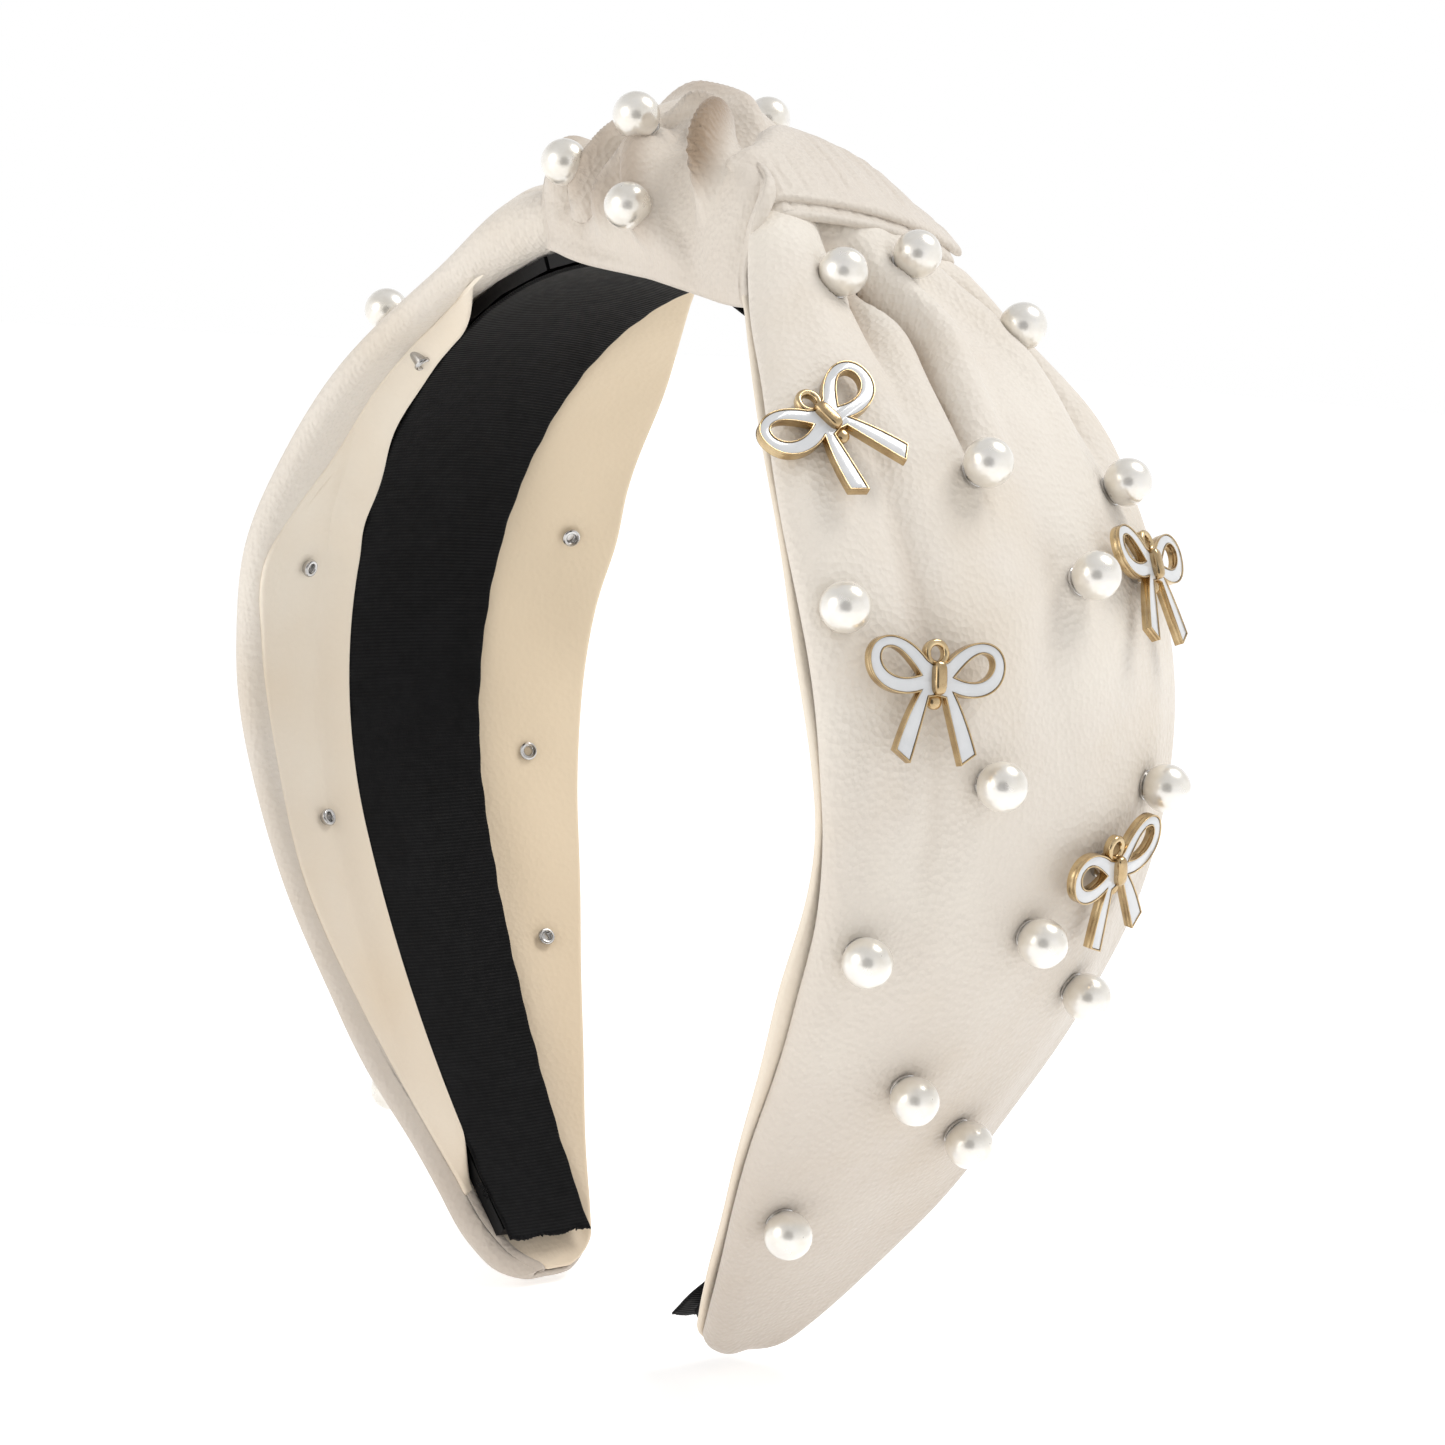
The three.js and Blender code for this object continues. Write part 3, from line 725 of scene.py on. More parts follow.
def outer_panel(name):
    along, to_tip = sleeve_grid(name, 0.62, 3.4)
    wave = 0.35 * np.sin(along / 7.3) * smooth((along - 30) / 20) * smooth((170 - along) / 20)
    front = -half_width(name, along, 0) - wave
    back = half_width(name, along, 1) + 0.3 * np.sin(along / 9.1 + 1) * smooth((along - 30) / 20)
    across = spread_columns(front, back, 0.7, 108)
    along = np.repeat(along[:, None], across.shape[1], 1)
    fraction = np.where(across < 0, -across / front[:, None], across / back[:, None])
    level = panel_level(name, along, fraction)
    base = place(SIDES[name], along, across, level)
    level = level + settle_to_studs(base, panel_offset(name, along, across), name)
    if name == "right":
        # Near the knot the panel stays under the strap.
        under = pleat_level(STRAP_HEIGHTS, 1, along, across) - 2.7 + 7 * smooth((along - 22.8) / 3)
        level = np.minimum(level, under)
    edge_distance = from_edges(across, front, back)
    # Plump rolled edges: the panel stands off a little and then turns down.
    level = level + 0.5 * np.exp(-(((edge_distance - 2.2) / 2.2) ** 2))
    level = level - 0.9 * (1 - rounded(edge_distance, 1.6))
    level = level - (level - FACING_MIDDLE - 0.4) * (1 - rounded(to_tip, 3))
    shape = rounded(edge_distance, 0.7) * rounded(to_tip, 0.7)
    if name == "left":
        across, level, along, shape = turned_edge(across, level, along, shape)
    # Painted crease shade in the panel's deep folds.
    painted_crease_shade = np.clip((-panel_offset(name, along, across) - CREASE_FROM) / CREASE_DEPTH, 0, 1)
    thickness = PANEL_THICKNESS * shape
    piece = arm_sheet(f"panel_{name}", name, along, across, level, thickness, "cream_satin", painted_crease_shade=painted_crease_shade)
    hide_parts(f"sleeve_{name}")
    blend_to_arm(piece)


def turned_edge(across, level, along, shape):
    """Adds the front edge's turn-in: round the fold, and back along the inner side to the seam."""
    rim = 6
    radius = np.maximum((level[:, rim:rim + 1] - FACING_MIDDLE) / 2, 0.5)
    bend = np.linspace(-math.pi / 2, math.pi / 2, 11)[:-1]
    fold_across = across[:, rim:rim + 1] - radius * np.cos(bend)
    fold_level = FACING_MIDDLE + radius + radius * np.sin(bend)
    share = np.concatenate([1 - np.array([0, 0.004, 0.015, 0.04, 0.09]), np.linspace(0.85, 0.06, 9)])
    flap_across = across[:, rim:rim + 1] + seam_distance(along[:, :1]) * share
    flap_level = FACING_MIDDLE - 0.25 * np.sin(math.pi * share) * np.ones_like(along[:, :1])
    tip_shape = shape[:, across.shape[1] // 2][:, None]
    flap_shape = rounded((1 - share) * 6, 0.55) * tip_shape
    fold_shape = np.repeat(tip_shape, len(bend), 1)
    new_along = np.repeat(along[:, :1], len(share) + len(bend), 1)
    return (
        np.concatenate([flap_across, fold_across, across[:, rim:]], 1),
        np.concatenate([flap_level, fold_level, level[:, rim:]], 1),
        np.concatenate([new_along, along[:, rim:]], 1),
        np.concatenate([flap_shape, fold_shape, shape[:, rim:]], 1),
    )


def facing(name):
    """The inner side of a sleeve, behind the hoop."""
    side = SIDES[name]
    along, to_tip = sleeve_grid(name, 0.8, 3)
    if name == "left":
        front = -half_width(name, along, 0) + seam_distance(along) + 1.1
        back = half_width(name, along, 1) + 0.5 + 0.9 * np.exp(-(((along - 74) / 7) ** 2))
    else:
        peek = curve_through([8, 30, 70, 100, 112, 130, 184], [-1, 0.3, 0.8, 1, 1.9, 1.5, 0.6], along)
        front = -half_width(name, along, 0) - peek
        back = half_width(name, along, 1) + 0.8
    across = spread_columns(front, back, 0.5, 84)
    along = np.repeat(along[:, None], across.shape[1], 1)
    level = np.full(across.shape, FACING_MIDDLE)
    beyond = smooth((np.abs(across) - hoop_half_width(along) - 0.5) / 3) * smooth((along - 18) / 14)
    level += beyond * (ripples(along, across, 21 + side, 20, 0.4) - 0.25)
    if name == "right":
        level += 0.55 * np.exp(-(((across - front[:, None]) / 1.8) ** 2))
    base = place(side, along, across, level)
    level -= settle_to_studs(base, np.zeros(level.shape), name, dimple=0.3)
    shape = rounded(from_edges(across, front, back), 0.5) * rounded(to_tip, 0.5)
    thickness = FACING_THICKNESS * shape
    piece = arm_sheet(f"facing_{name}_cloth", name, along, across, level, thickness, "facing_satin")
    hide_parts(f"facing_{name}")
    blend_to_arm(piece)


def lip_edges(along):
    """Outer and inner edges of the left facing's front part, which lies against the ribbon."""
    wavy = 14.1 + 0.7 * np.sin(along / 6.1) + 0.4 * np.sin(along / 2.9 + 1) + 3.2 * smooth((40 - along) / 16)
    beside = hoop_half_width(along) + 0.3
    inner = -(wavy + (beside - wavy) * smooth((along - 68) / 10))
    outer = -half_width("left", along, 0) + seam_distance(along) - 1.0
    outer = np.minimum(outer, inner - 1.6)
    return outer, outer + (inner - outer) * smooth((along - 21) / 13)


def lip_level(along, across):
    """It comes off the facing's own level and up to the ribbon."""
    outer, inner = lip_edges(along)
    lapped = -0.45 + 0.6 * smooth((along - 68) / 10) + 3 * smooth((along - 162) / 9)
    lapped = lapped + (LIP_ROOT - lapped) * (1 - smooth((along - 24) / 12))
    rise = smooth(1 - (inner - across) / np.minimum(inner - outer, 4.4))
    return LIP_ROOT + (lapped - LIP_ROOT) * rise


def facing_lip():
    """Cloth of the left facing that laps up to the ribbon's front edge."""
    along = np.linspace(*LIP_REACH, 200)[:, None]
    share = spread_columns(0.0, 1.0, 0.06, 30)
    outer, inner = lip_edges(along)
    across = outer + (inner - outer) * share
    ends = np.minimum(along - LIP_REACH[0], LIP_REACH[1] - along)
    edge = np.minimum(share, 1 - share) * np.abs(outer - inner)
    thickness = LIP_THICKNESS * rounded(edge, 0.4) * rounded(ends, 0.4)
    along = np.broadcast_to(along, across.shape)
    level = lip_level(along, across)
    piece = arm_sheet("facing_left_lip", "left", along, across, level, thickness, "facing_satin")
    blend_to_arm(piece)


def rivet_extra(name, seat_point):
    """How much further a rivet reaches, so that its end shows on the cloth at the hoop's front."""
    if "left" not in name:
        return 0
    along, across = np.meshgrid(np.arange(12, 172, 0.5), np.arange(-30, -6, 0.5), indexing="ij")
    gap = np.linalg.norm(place(-1, along, across, 6) - seat_point, axis=-1)
    along, across = along.flat[gap.argmin()], across.flat[gap.argmin()]
    outer, inner = lip_edges(along)
    if gap.min() > 3 or across > inner:
        return 0
    if across < outer:
        return ROLLED_EDGE_EXTRA
    return FACING_MIDDLE - FACING_THICKNESS / 2 - lip_level(along, across) + LIP_THICKNESS / 2


STRAP_HEIGHTS = [(4, 15.4), (7, 17), (10, 18.9), (13, 19), (16, 17.9), (19, 16.4), (22, 14.7), (24, 13.7)]
NECK_HEIGHTS = [(8, 10.6), (12, 12), (16, 12.3), (19.5, 11.6)]


def pleat_level(heights, fall, along, across):
    """Level of a pleat: its heights along the arm, falling away towards the back."""
    level = curve_through([h[0] for h in heights], [h[1] for h in heights], along)
    lower = curve_through([-14, -8, -4, 2, 10, 16, 21], [-1, -0.4, 0.2, 1.3, 3.2, 5.4, 7], across)
    return level - fall * lower * (1 - 0.45 * smooth((along - 14) / 9))


def pleat(name, title, start, end, front, back, heights, drop, fall, bow_in):
    """A flat pleat across the neck of a sleeve, over the gathers. Heights are (along, level) pairs."""
    fraction = spread_columns(0.0, 1.0, 0.02, 90)[None, :]
    depth = spread_columns(0.0, 1.0, 0.05, 26)[:, None]
    across = front + (back - front) * fraction
    middle = (across - (front + back) / 2) / ((back - front) / 2)
    finish = end + bow_in * middle**2
    # On the right its front part comes out from under the knot's end.
    begin = start + (16 - start) * smooth((4 - across) / 15) * (name == "right")
    along = begin + (finish - begin) * depth
    across = np.broadcast_to(across, along.shape)
    level = pleat_level(heights, fall, along, across) - drop * smooth((front + 3 - across) / 3)
    if name == "right":
        level = level - 1.8 * (1 - smooth(depth / 0.22))
    gathers = np.sin(across * 2.3 + 1.5 * np.sin(across * 0.7)) + 0.6 * np.sin(across * 5.1 + 1)
    level = level + 0.11 * gathers * smooth((depth - 0.3) / 0.2) * smooth((0.98 - depth) / 0.2)
    edge = np.minimum(
        np.minimum(depth, 1 - depth) * (end - start), np.minimum(fraction, 1 - fraction) * (back - front),
    )
    thickness = PLEAT_THICKNESS * rounded(edge, 0.6)
    title = f"pleat_{name}_{title}"
    # Painted shade: the pleat takes the knot's darker tone, not one from its place along the arm.
    piece = arm_sheet(title, name, along, across, level, thickness, "cream_satin", shade=KNOT_SHADE)
    blend_to_arm(piece)


# ---------- Hoop lining ----------

THREAD_RADIUS = 0.13
THREAD_SIDES = 5


def lining(name):
    """Black ribbon on the hoop's inner face, from the crown to one tip."""
    ragged = np.random.RandomState(7 if name == "left" else 8)
    width_share = spread_columns(-1.0, 1.0, 0.03, 60)
    rows = np.linspace(0, 1, 240)
    cut = RIBBON_END + 0.5 + 0.2 * np.sin(width_share * 7) + ragged.uniform(-0.14, 0.14, len(width_share))
    along = rows[:, None] * cut[None, :]
    slub = 0.12 * np.sin(along * 0.9) * np.sin(along * 0.23 + 1)
    across = width_share[None, :] * (hoop_half_width(along) + 0.4 + slub * (np.abs(width_share) > 0.97))
    if name == "right":
        across = across - 1.7 * smooth((along - 169) / 8) * smooth(-width_share[None, :])
    level = np.full(along.shape, 0.3) + ripples(along, across, 5, 30, 0.06)
    edge = (1 - np.abs(width_share))[None, :] * hoop_half_width(along)
    thickness = RIBBON_THICKNESS * (0.2 + 0.8 * rounded(edge, 0.4))
    piece = arm_sheet(f"ribbon_{name}", name, along, across, level, thickness, "black_ribbon")
    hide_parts(f"lining_{name}", "lining_crown")
    blend_to_arm(piece)


def thread_points(path):
    """Rings of points round a thread's path, narrowing to closed ends."""
    ahead = np.gradient(path, axis=0)
    ahead /= np.linalg.norm(ahead, axis=1, keepdims=True)
    first = np.cross(ahead, np.array([0.31, 0.52, 0.79]))
    first /= np.linalg.norm(first, axis=1, keepdims=True)
    second = np.cross(ahead, first)
    turn = full_turn(THREAD_SIDES)[None, :, None]
    size = np.full(len(path), THREAD_RADIUS)
    size[0] = size[-1] = 0
    ring = first[:, None] * np.cos(turn) + second[:, None] * np.sin(turn)
    return path[:, None] + ring * size[:, None, None]


def frayed_threads():
    """Loose threads at the cut end and edge of the left ribbon."""
    source = np.random.RandomState(12)
    spots = [(172, -7.6, True)] * 9 + [(179.4, w, False) for w in np.linspace(-6, 6, 22)]
    t = np.linspace(0, 1, 6)
    points, faces = [], []
    for along, across, at_edge in spots:
        length = source.uniform(0.7, 1.7) if at_edge else source.uniform(0.3, 0.9)
        drift = source.uniform(-0.9, 0.9) * t**1.5 * length
        slip = source.uniform(-0.8, 0.8)
        rise = 0.3 - 0.3 * t * source.uniform(-0.3, 1)
        if at_edge:
            path = place(-1, along + slip + drift, across - t * length, rise)
        else:
            path = place(-1, along - 0.5 + t * length, across + drift, rise)
        faces += (ring_faces(len(t), THREAD_SIDES) + len(points)).tolist()
        points += thread_points(path).reshape(-1, 3).tolist()
    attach(mesh_object("ribbon_left_fray", points, faces, "black_ribbon"), "left_arm")


# ---------- Knot ----------

KNOT_REACH = 15.5
# Painted shade for the knot and pleats: their colour darkens as much as the cloth does this far down an arm.
KNOT_SHADE = 118
KNOT_ENDS = (-1.06, 1.08)
KNOT_FRONT_RIM = [(-1.06, -104), (-0.96, -105), (0.36, -112), (0.95, -117), (1.08, -118)]
KNOT_BACK_RIM = 117
KNOT_MM_PER_DEGREE = 0.28
# Depth from which a knot fold's colour gets painted crease shade.
KNOT_CREASE_FROM = 0.8

# Each fold is a path of (length, angle, height) and its width in millimetres.
KNOT_FOLDS = [
    # Right lobe: a broad fold, its hard left edge, the deep pocket and the thin rim beyond it.
    ([(0.5, -24, 1.2), (0.53, -38, 2.6), (0.54, -54, 3), (0.54, -76, 2.6), (0.64, -98, 1.4),
      (0.78, -114, 0)], 3.8),
    ([(0.27, -30, 0), (0.3, -44, -2), (0.34, -60, -3), (0.38, -76, -3.2), (0.42, -87, -2.8), (0.5, -97, -1.6),
      (0.64, -108, 0)], (1, 1.8)),
    ([(0.93, -31, -0.6), (0.88, -40, -4.4), (0.8, -52, -5.6), (0.73, -65, -4.8), (0.69, -77, -1.8),
      (0.68, -89, 0)], (1.0, 1.4)),
    ([(1.0, -22, 1), (1.02, -44, 1.4), (0.98, -66, 1.6), (0.96, -90, 1), (0.96, -110, 0)], 1.4),
    # Fingers of cloth on the left that sweep down from the top.
    ([(0.3, -24, 1), (0.22, -44, 2.6), (0.12, -60, 3.2), (-0.08, -73, 3.2), (-0.34, -84, 2.2),
      (-0.6, -94, 0)], 1.6),
    ([(0.26, -50, 0), (0.2, -64, -2.6), (0.06, -76, -3), (-0.03, -88, -1.2), (-0.1, -98, 0)], (1.3, 1.2)),
    ([(-0.14, -40, 0.6), (-0.36, -62, 2.6), (-0.58, -76, 2.4), (-0.78, -90, 0)], 1.5),
    ([(0, -36, -0.8), (-0.16, -60, -2.8), (-0.38, -75, -2.8), (-0.56, -90, 0)], 1.1),
    ([(-0.66, -40, -0.5), (-0.8, -62, -2), (-0.92, -82, 0)], 1.3),
    ([(-0.9, -94, 0), (-0.4, -100, 0.7), (0.2, -104, 0.7), (0.7, -108, 0)], 2.2),
    # The roll over the top, and folds down the back.
    ([(0.1, -20, 0.5), (0.32, -12, 1), (0.6, -6, 1), (0.95, -4, 0.5)], 1.8),
    ([(0.14, -30, 0), (0.36, -21, -2.6), (0.64, -15, -2.8), (0.94, -12, 0)], 0.9),
    ([(-0.8, -20, 0), (-0.4, -5, -1.8), (0.2, 4, -2.2), (0.8, 10, 0)], 1.2),
    ([(-0.8, 8, 0), (-0.1, 22, 1.8), (0.5, 40, 1.8), (0.8, 70, 0)], 2.4),
    ([(-0.6, 30, 0), (0, 48, -2.4), (0.4, 70, -2.4), (0.6, 95, 0)], 1.3),
    ([(-0.8, 50, 0), (-0.3, 66, 1.8), (0.1, 88, 1.4), (0.3, 108, 0)], 2.2),
    ([(-0.9, 66, 0), (-0.6, 84, -2), (-0.4, 104, 0)], 1.2),
    ([(0.7, 30, 0), (0.85, 60, -1.8), (0.9, 90, 0)], 1.4),
]


def knot_surface(length, angle):
    """The knot's outer surface in millimetres: length -1 to 1, angle in degrees from its top to the back."""
    length, angle = np.broadcast_arrays(np.asarray(length, float), np.asarray(angle, float))
    round_off = np.sqrt(np.clip(1 - 0.9 * np.clip(length, -1.04, 1.04) ** 2, 0.02, 1))
    side = 14.4 + 0.75 * (2 + 0.8 * round_off)
    up = 13.6 + 0.75 * (2.2 + 3.2 * round_off)
    # The left end closes down on to the sleeve's neck, like the end of a bun.
    window = smooth((angle + 70) / 44) * smooth((96 - angle) / 50)
    up = up - window * (1.8 + 9.5 * smooth((0 - length) / 1.1))
    up = up - 5 * smooth((length - 0.45) / 0.5) * smooth((angle + 33) / 20) * smooth((96 - angle) / 50)
    turn = np.radians(angle)
    level = np.clip(turn, -math.pi / 2, math.pi / 2)
    toward_right = smooth((length - 0.2) / 0.8)
    reach = KNOT_REACH * smooth((-angle - 22) / 50) * (1 - 0.24 * smooth((-angle - 72) / 34))
    lean = toward_right * (reach + 3 * smooth((angle - 20) / 50))
    x = 12.5 * length + 1 - 4.5 * np.cos(turn) + lean
    z = 4 + SEAT_LIFT + up * np.cos(turn)
    z = z - 1.8 * smooth((length - 0.3) / 0.6) * smooth((-angle - 95) / 20)
    return np.stack([x, side * np.sin(level), z], -1)


def lift_to_seats(points, normal_offset):
    """Brings the cloth up under each pearl of the knot, where the shape falls short of it."""
    lifted = normal_offset.copy()
    for name, stud in STUDS.items():
        if "knot" not in name:
            continue
        height, sideways = from_axis(points, stud["seat"], stud["axis"])
        sideways = np.where(height < -SAME_SIDE, np.inf, sideways)
        gap = -height.flat[np.argmin(sideways)] - 0.7
        lifted += gap * np.exp(-((sideways / 2.8) ** 2))
    return lifted


def knot():
    length = spread_columns(*KNOT_ENDS, 0.06, 150)[:, None]
    front_rim = curve_through(*zip(*KNOT_FRONT_RIM), length)
    share = spread_columns(0.0, 1.0, 0.017, 250)
    angle = front_rim + (KNOT_BACK_RIM - front_rim) * share
    base = knot_surface(length, angle)
    offset = np.zeros(angle.shape)
    for path, width in KNOT_FOLDS:
        path = np.array(path, float)
        path[:, 0] = knot_surface(path[:, 0], path[:, 1])[:, 0]
        path[:, 1] *= KNOT_MM_PER_DEGREE
        offset += fold(base[..., 0], KNOT_MM_PER_DEGREE * angle, path, width)
    offset += ripples(base[..., 0], KNOT_MM_PER_DEGREE * angle, 31, 8, 0.15)
    # Painted crease shade in the knot's deep folds.
    painted_crease_shade = np.clip((-offset - KNOT_CREASE_FROM) / CREASE_DEPTH, 0, 1)
    offset = lift_to_seats(base, settle_to_studs(base, offset, "knot", reach=1.6, dimple=0))
    ends = np.minimum(length - KNOT_ENDS[0], KNOT_ENDS[1] - length) * 14
    offset -= 1.2 * (1 - rounded(ends, 2.4))
    normal = np.cross(np.gradient(base, axis=1), np.gradient(base, axis=0))
    normal /= np.linalg.norm(normal, axis=-1, keepdims=True)
    rims = np.minimum(angle - front_rim, KNOT_BACK_RIM - angle) * KNOT_MM_PER_DEGREE
    thickness = KNOT_THICKNESS * rounded(ends, 1.0) * rounded(rims, 1.0)
    # The cloth attribute carries the knot's painted shade and its painted crease shade.
    cloth = np.stack(np.broadcast_arrays(KNOT_SHADE, base[..., 0], painted_crease_shade), -1)
    piece = sheet_object("knot_cloth", base + normal * offset[..., None], thickness, "cream_satin", cloth)
    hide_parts("knot_wrap", "knot_gather")
    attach(piece, "crown")


# ---------- Pearls and their rivets ----------


def pearl_profile():
    """A bead with a flat, dished seat where its rivet holds it."""
    centre, radius = PEARL_TOP - 3, 3
    arc = np.radians(np.linspace(-50, 90, 30))
    seat_height = 0.45
    return [(0, seat_height + 0.25), (1.1, seat_height + 0.22), (1.4, seat_height)] + [
        (radius * math.cos(a), centre + radius * math.sin(a)) for a in arc[:-1]
    ] + [(0, centre + radius)]


def rivet_profile(depth):
    """A washer under the bead, a shank, and a rolled tubular end on the inner side."""
    low = -depth
    return [
        (0, low + 0.35), (0.62, low + 0.3), (0.66, low - 0.32), (0.78, low - 0.5), (0.98, low - 0.55),
        (1.16, low - 0.48), (1.26, low - 0.3), (1.28, low - 0.08), (1.2, low), (0.98, low + 0.04),
        (0.94, -0.2), (1.75, -0.16), (1.9, -0.02), (1.9, 0.22), (1.7, 0.4), (1.2, 0.46), (0, 0.5),
    ]


def add_pearls():
    for name, stud in STUDS.items():
        body = "crown" if "knot" in name else f"{name.split('_')[1]}_arm"
        matrix = facing_matrix(stud["seat"], stud["axis"])
        bead = lathe_object(f"{name}_bead", pearl_profile(), 40, "pearl", matrix)
        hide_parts(name)
        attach(bead, body)
        depth = 1.6 if "knot" in name else stud["depth"]
        depth += rivet_extra(name, stud["seat"])
        rivet = lathe_object(f"{name}_rivet", rivet_profile(depth), 28, "silver_rivet", matrix)
        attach(rivet, body)


# ---------- Bow charms ----------

# Heights over the cloth of the bow's layers, from low to high.
PLATE_HEIGHTS = (1.75, 2.7)
RIM_HEIGHTS = (2.6, 3.02)
ENAMEL_HEIGHTS = (2.62, 2.93)
# The hanging ring's middle, up from the bow's own.
RING_MIDDLE = 2.9
# How much of a CAD post stands over its seat.
POST_OVER_SEAT = 4.05


def bezier(*controls, count=14):
    """Points on a Bezier curve, without its first."""
    t = np.linspace(0, 1, count + 1)[1:, None]
    steps = [np.array(c, float) for c in controls]
    while len(steps) > 1:
        steps = [a + (b - a) * t for a, b in zip(steps, steps[1:])]
    return steps[0]


def bow_outline(with_ring):
    """The bow's outline in millimetres: tails, loops, and the hanging ring if wanted."""
    half = np.concatenate([
        [[0, -2], [1.1, -2.2]],
        bezier((1.1, -2.2), (2, -5.4), (3.4, -9.8)),
        [[4.4, -9.1], [5.4, -8.4]],
        bezier((5.4, -8.4), (4.1, -4.5), (2.4, -1.7)),
        bezier((2.4, -1.7), (5.6, -2.7), (9.2, -1.2), (9.1, 2), count=22),
        bezier((9.1, 2), (9, 4.8), (5, 5.9), (1.4, 2.1), count=22),
    ])
    if with_ring:
        start = math.atan2(2.1 - RING_MIDDLE, 1.4)
        turn = np.linspace(start, math.pi / 2, 12)[1:]
        ring = np.stack([1.6 * np.cos(turn), RING_MIDDLE + 1.6 * np.sin(turn)], -1)
        half = np.concatenate([half, ring])
    else:
        half = np.concatenate([half, [[0.7, 1.7], [0, 1.6]]])
    mirrored = half[1:-1][::-1] * np.array([-1, 1])
    return np.concatenate([half, mirrored])


def loop_hole(side):
    points = np.concatenate([
        [[2.3, 0.3]],
        bezier((2.3, 0.3), (4.2, 2.6), (5.8, 3.8), (7.2, 2.9), count=16),
        bezier((7.2, 2.9), (8.4, 1.6), (6.4, -1.2), (2.3, 0.3), count=16)[:-1],
    ])
    return points * np.array([side, 1])


def circle(height, radius, count=28):
    turn = full_turn(count)
    return np.stack([radius * np.cos(turn), height + radius * np.sin(turn)], -1)


def inset(loop, amount):
    """The loop moved inwards, or outwards if the amount is negative, with clean corners."""
    following = np.roll(loop, -1, 0)
    area = np.sum(loop[:, 0] * following[:, 1] - following[:, 0] * loop[:, 1])
    edge = following - loop
    edge = edge / np.linalg.norm(edge, axis=1, keepdims=True)
    inward = np.stack([-edge[:, 1], edge[:, 0]], -1) * np.sign(area)
    both = inward + np.roll(inward, 1, 0)
    both = both / np.sum(both * inward, axis=1, keepdims=True)
    moved = loop + both * amount
    start, run = loop[None], (following - loop)[None]
    t = np.clip(np.sum((moved[:, None] - start) * run, -1) / np.sum(run * run, -1), 0, 1)
    gap = np.linalg.norm(moved[:, None] - (start + t[..., None] * run), axis=-1).min(1)
    return moved[gap > abs(amount) * 0.93]


def plate_mesh(loops, heights, bevel):
    """A flat plate cut to loops in millimetres, with softened edges, as a mesh in millimetres."""
    low, high = heights
    curve = bpy.data.curves.new("plate", "CURVE")
    curve.dimensions = "2D"
    curve.fill_mode = "BOTH"
    for loop in loops:
        spline = curve.splines.new("POLY")
        spline.points.add(len(loop) - 1)
        spline.points.foreach_set("co", np.pad(loop, ((0, 0), (0, 2))).ravel())
        spline.use_cyclic_u = True
    curve.extrude = (high - low) / 2 - bevel
    curve.bevel_depth = bevel
    curve.bevel_resolution = 1
    curve.offset = -bevel
    holder = linked("plate", curve)
    bpy.context.view_layer.update()
    graph = bpy.context.evaluated_depsgraph_get()
    mesh = bpy.data.meshes.new_from_object(holder.evaluated_get(graph))
    bpy.data.objects.remove(holder)
    bpy.data.curves.remove(curve)
    mesh.transform(Matrix.Translation((0, 0, (low + high) / 2)))
    return mesh


def part_mesh(points, middle, closed):
    """A mesh from rings of points, about a middle point."""
    mesh = bpy.data.meshes.new("part")
    faces = ring_faces(*points.shape[:2], closed).tolist()
    mesh.from_pydata((points + np.array(middle)).reshape(-1, 3).tolist(), [], faces)
    return mesh


def pad_mesh(middle, half, power, rows=18, columns=28):
    """A rounded pad: a box whose corners are worn soft."""
    rise = np.linspace(-math.pi / 2, math.pi / 2, rows)[:, None]
    turn = full_turn(columns)[None, :]

    def bent(value):
        return np.sign(value) * np.abs(value) ** (2 / power)

    points = np.stack([
        half[0] * bent(np.cos(rise)) * bent(np.cos(turn)),
        half[1] * bent(np.cos(rise)) * bent(np.sin(turn)),
        half[2] * bent(np.sin(rise)) * np.ones_like(turn),
    ], -1)
    return part_mesh(points, middle, False)


def ring_mesh(middle, major, minor, count=36, sides=12):
    turn = full_turn(count)[:, None]
    tube = full_turn(sides)[None, :]
    reach = major + minor * np.cos(tube)
    points = np.stack([
        reach * np.cos(turn), reach * np.sin(turn), minor * np.sin(tube) * np.ones_like(turn),
    ], -1)
    return part_mesh(points, middle, True)


def joined_mesh(name, parts):
    """Several meshes in millimetres as one clean mesh in metres."""
    work = bmesh.new()
    for part in parts:
        work.from_mesh(part)
        bpy.data.meshes.remove(part)
    bmesh.ops.remove_doubles(work, verts=work.verts, dist=2e-4)
    bmesh.ops.recalc_face_normals(work, faces=work.faces)
    bmesh.ops.scale(work, vec=(MM, MM, MM), verts=work.verts)
    mesh = bpy.data.meshes.new(name)
    work.to_mesh(mesh)
    work.free()
    return mesh


def bow_gold_mesh():
    """Body, raised rims round the enamel, centre band, hanging ring and rivet dome."""
    plain = bow_outline(False)
    holes = [loop_hole(1), loop_hole(-1)]
    rims = [[plain, inset(plain, 0.17)]] + [[inset(hole, -0.15), hole] for hole in holes]
    return joined_mesh("bow_gold", [
        plate_mesh([bow_outline(True), *holes, circle(RING_MIDDLE, 0.9)], PLATE_HEIGHTS, 0.12),
        *[plate_mesh(rim, RIM_HEIGHTS, 0.04) for rim in rims],
        ring_mesh((0, RING_MIDDLE, 2.5), 1.25, 0.42),
        pad_mesh((0, 0.05, 3.05), (0.85, 1.95, 0.95), 3.4),
        pad_mesh((0, -2.6, 2.1), (0.95, 0.95, 0.7), 2.2),
    ])


def bow_enamel_mesh():
    loops = [inset(bow_outline(False), 0.23)] + [inset(loop_hole(s), -0.21) for s in (1, -1)]
    return joined_mesh("bow_enamel", [plate_mesh(loops, ENAMEL_HEIGHTS, 0.05)])


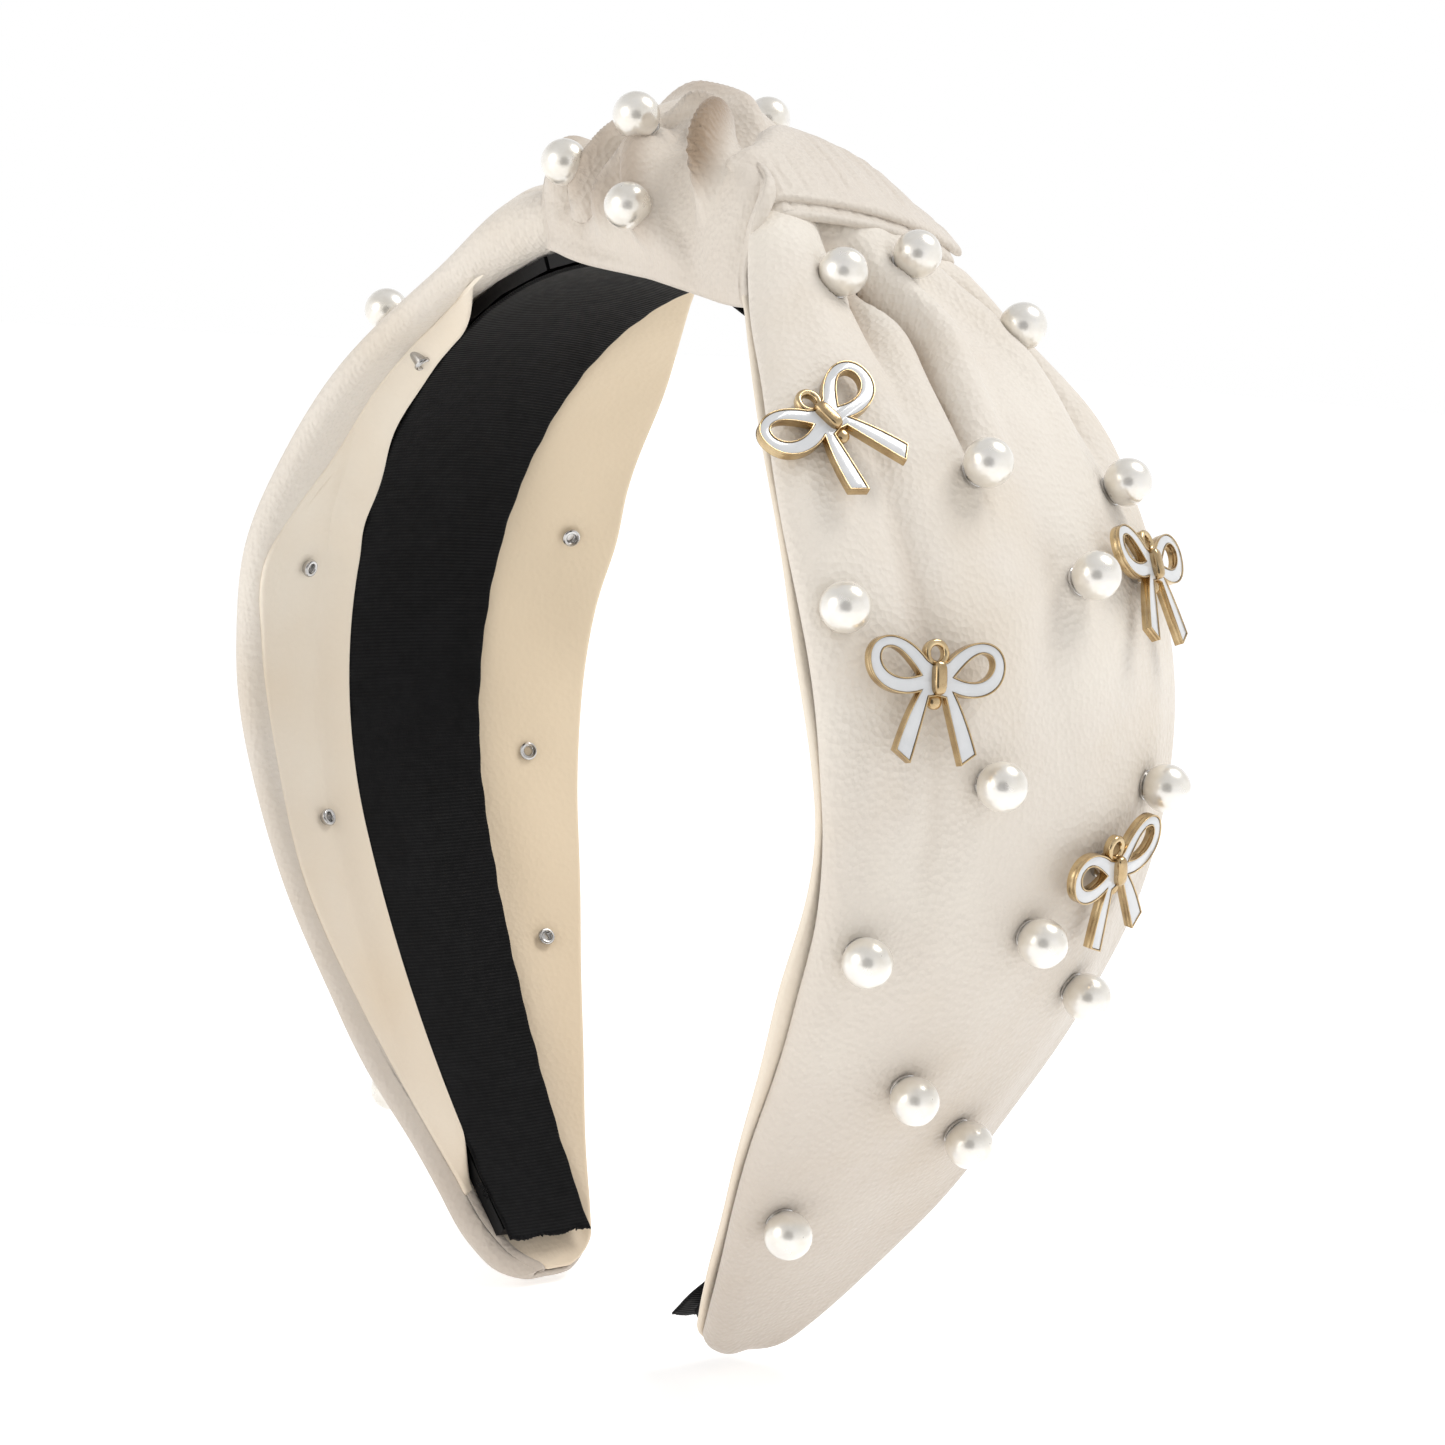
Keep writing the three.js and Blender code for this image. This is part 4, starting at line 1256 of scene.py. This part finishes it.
def post_profile(depth):
    """The post that holds a bow: rolled inner end, shank, collar and small riveted head."""
    low = -depth
    return [
        (0, low + 0.3), (0.6, low + 0.25), (0.66, low - 0.3), (0.8, low - 0.46), (1.1, low - 0.5),
        (1.3, low - 0.36), (1.34, low - 0.1), (1.2, low), (0.95, low + 0.05), (0.95, -0.1),
        (1.55, -0.05), (1.65, 0.1), (1.65, 0.6), (1.5, 0.74), (1.1, 0.8), (1.05, 1.6),
        (0.6, 1.7), (0.6, 3.2), (0, 3.3),
    ]


def add_bows():
    gold, enamel = bow_gold_mesh(), bow_enamel_mesh()
    for name, bow in BOWS.items():
        matrix = facing_matrix(bow["seat"], bow["axis"], bow["up"])
        body = dressed(gold.copy(), f"{name}_gold", "bow_gold", CAST_SHARP_ANGLE)
        body.matrix_world = matrix
        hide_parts(name)
        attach(body, bow["body"])
        inlay = dressed(enamel.copy(), f"{name}_enamel", "white_enamel", CAST_SHARP_ANGLE)
        inlay.matrix_world = matrix
        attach(inlay, bow["body"])
        post = name.replace("bow", "post")
        _, _, lowest, highest = turned_axis(post, HEAD_MIDDLE)
        depth = highest - lowest - POST_OVER_SEAT - FLANGE_THICKNESS + rivet_extra(name, bow["seat"])
        stem = lathe_object(f"{post}_stem", post_profile(depth), 28, "silver_rivet", matrix)
        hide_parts(post)
        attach(stem, f"{name.split('_')[1]}_arm")


# ---------- Assembly ----------

for arm_name in SIDES:
    outer_panel(arm_name)
    facing(arm_name)
    lining(arm_name)
facing_lip()
frayed_threads()
pleat("right", "upper", 5, 23.8, -13, 18.6, STRAP_HEIGHTS, 1.6, 1, -1.0)
pleat("right", "lower", 12, 25.2, -12.8, 17, [(s, z - 1.1) for s, z in STRAP_HEIGHTS], 1.6, 1, -1.2)
pleat("left", "upper", 9, 19.5, -10, 15, NECK_HEIGHTS, 1.5, 0.5, -0.6)
knot()
add_pearls()
add_bows()

for node in ("hoop_crown", "hoop_left", "hoop_right"):
    hoop = frame["nodes"][node]
    hoop.data.materials.clear()
    hoop.data.materials.append(LOOKS["hoop_plastic"])


# ---------- Floor and reflection card ----------


def flat_stage(name, corners, look, matrix=Matrix()):
    mesh = bpy.data.meshes.new(name)
    mesh.from_pydata(corners, [], [tuple(range(len(corners)))])
    mesh.materials.append(look.material)
    made = linked(name, mesh)
    made.matrix_world = matrix
    made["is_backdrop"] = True
    return made


def add_dark_card():
    """A grey card behind the camera that only shows as a reflection, as a dark room would."""
    grey = (0.05, 0.05, 0.05, 1)
    look = Look("dark_card", Base_Color=grey, Emission_Color=(0.3, 0.3, 0.31, 1), Emission_Strength=0.2)
    corners = [(math.cos(a), math.sin(a), 0) for a in full_turn(48)]
    card = flat_stage("dark_card", corners, look, view_frame(0.47) @ Matrix.Scale(0.2, 4))
    card.visible_camera = card.visible_diffuse = card.visible_shadow = card.visible_transmission = False


def add_floor():
    reach, height = 4.0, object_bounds()[0].z - 0.0005
    corners = [(x * reach, y * reach, height) for x, y in ((-1, -1), (1, -1), (1, 1), (-1, 1))]
    look = Look("floor_pale", Roughness=0.75, Emission_Color=(1, 1, 1, 1), Emission_Strength=0.42)
    look.colour(look.ramp(look.noise(6, 2), [(0.3, (0.88, 0.88, 0.88, 1)), (0.7, (0.91, 0.91, 0.91, 1))]))
    flat_stage("floor", corners, look)


add_dark_card()
add_floor()
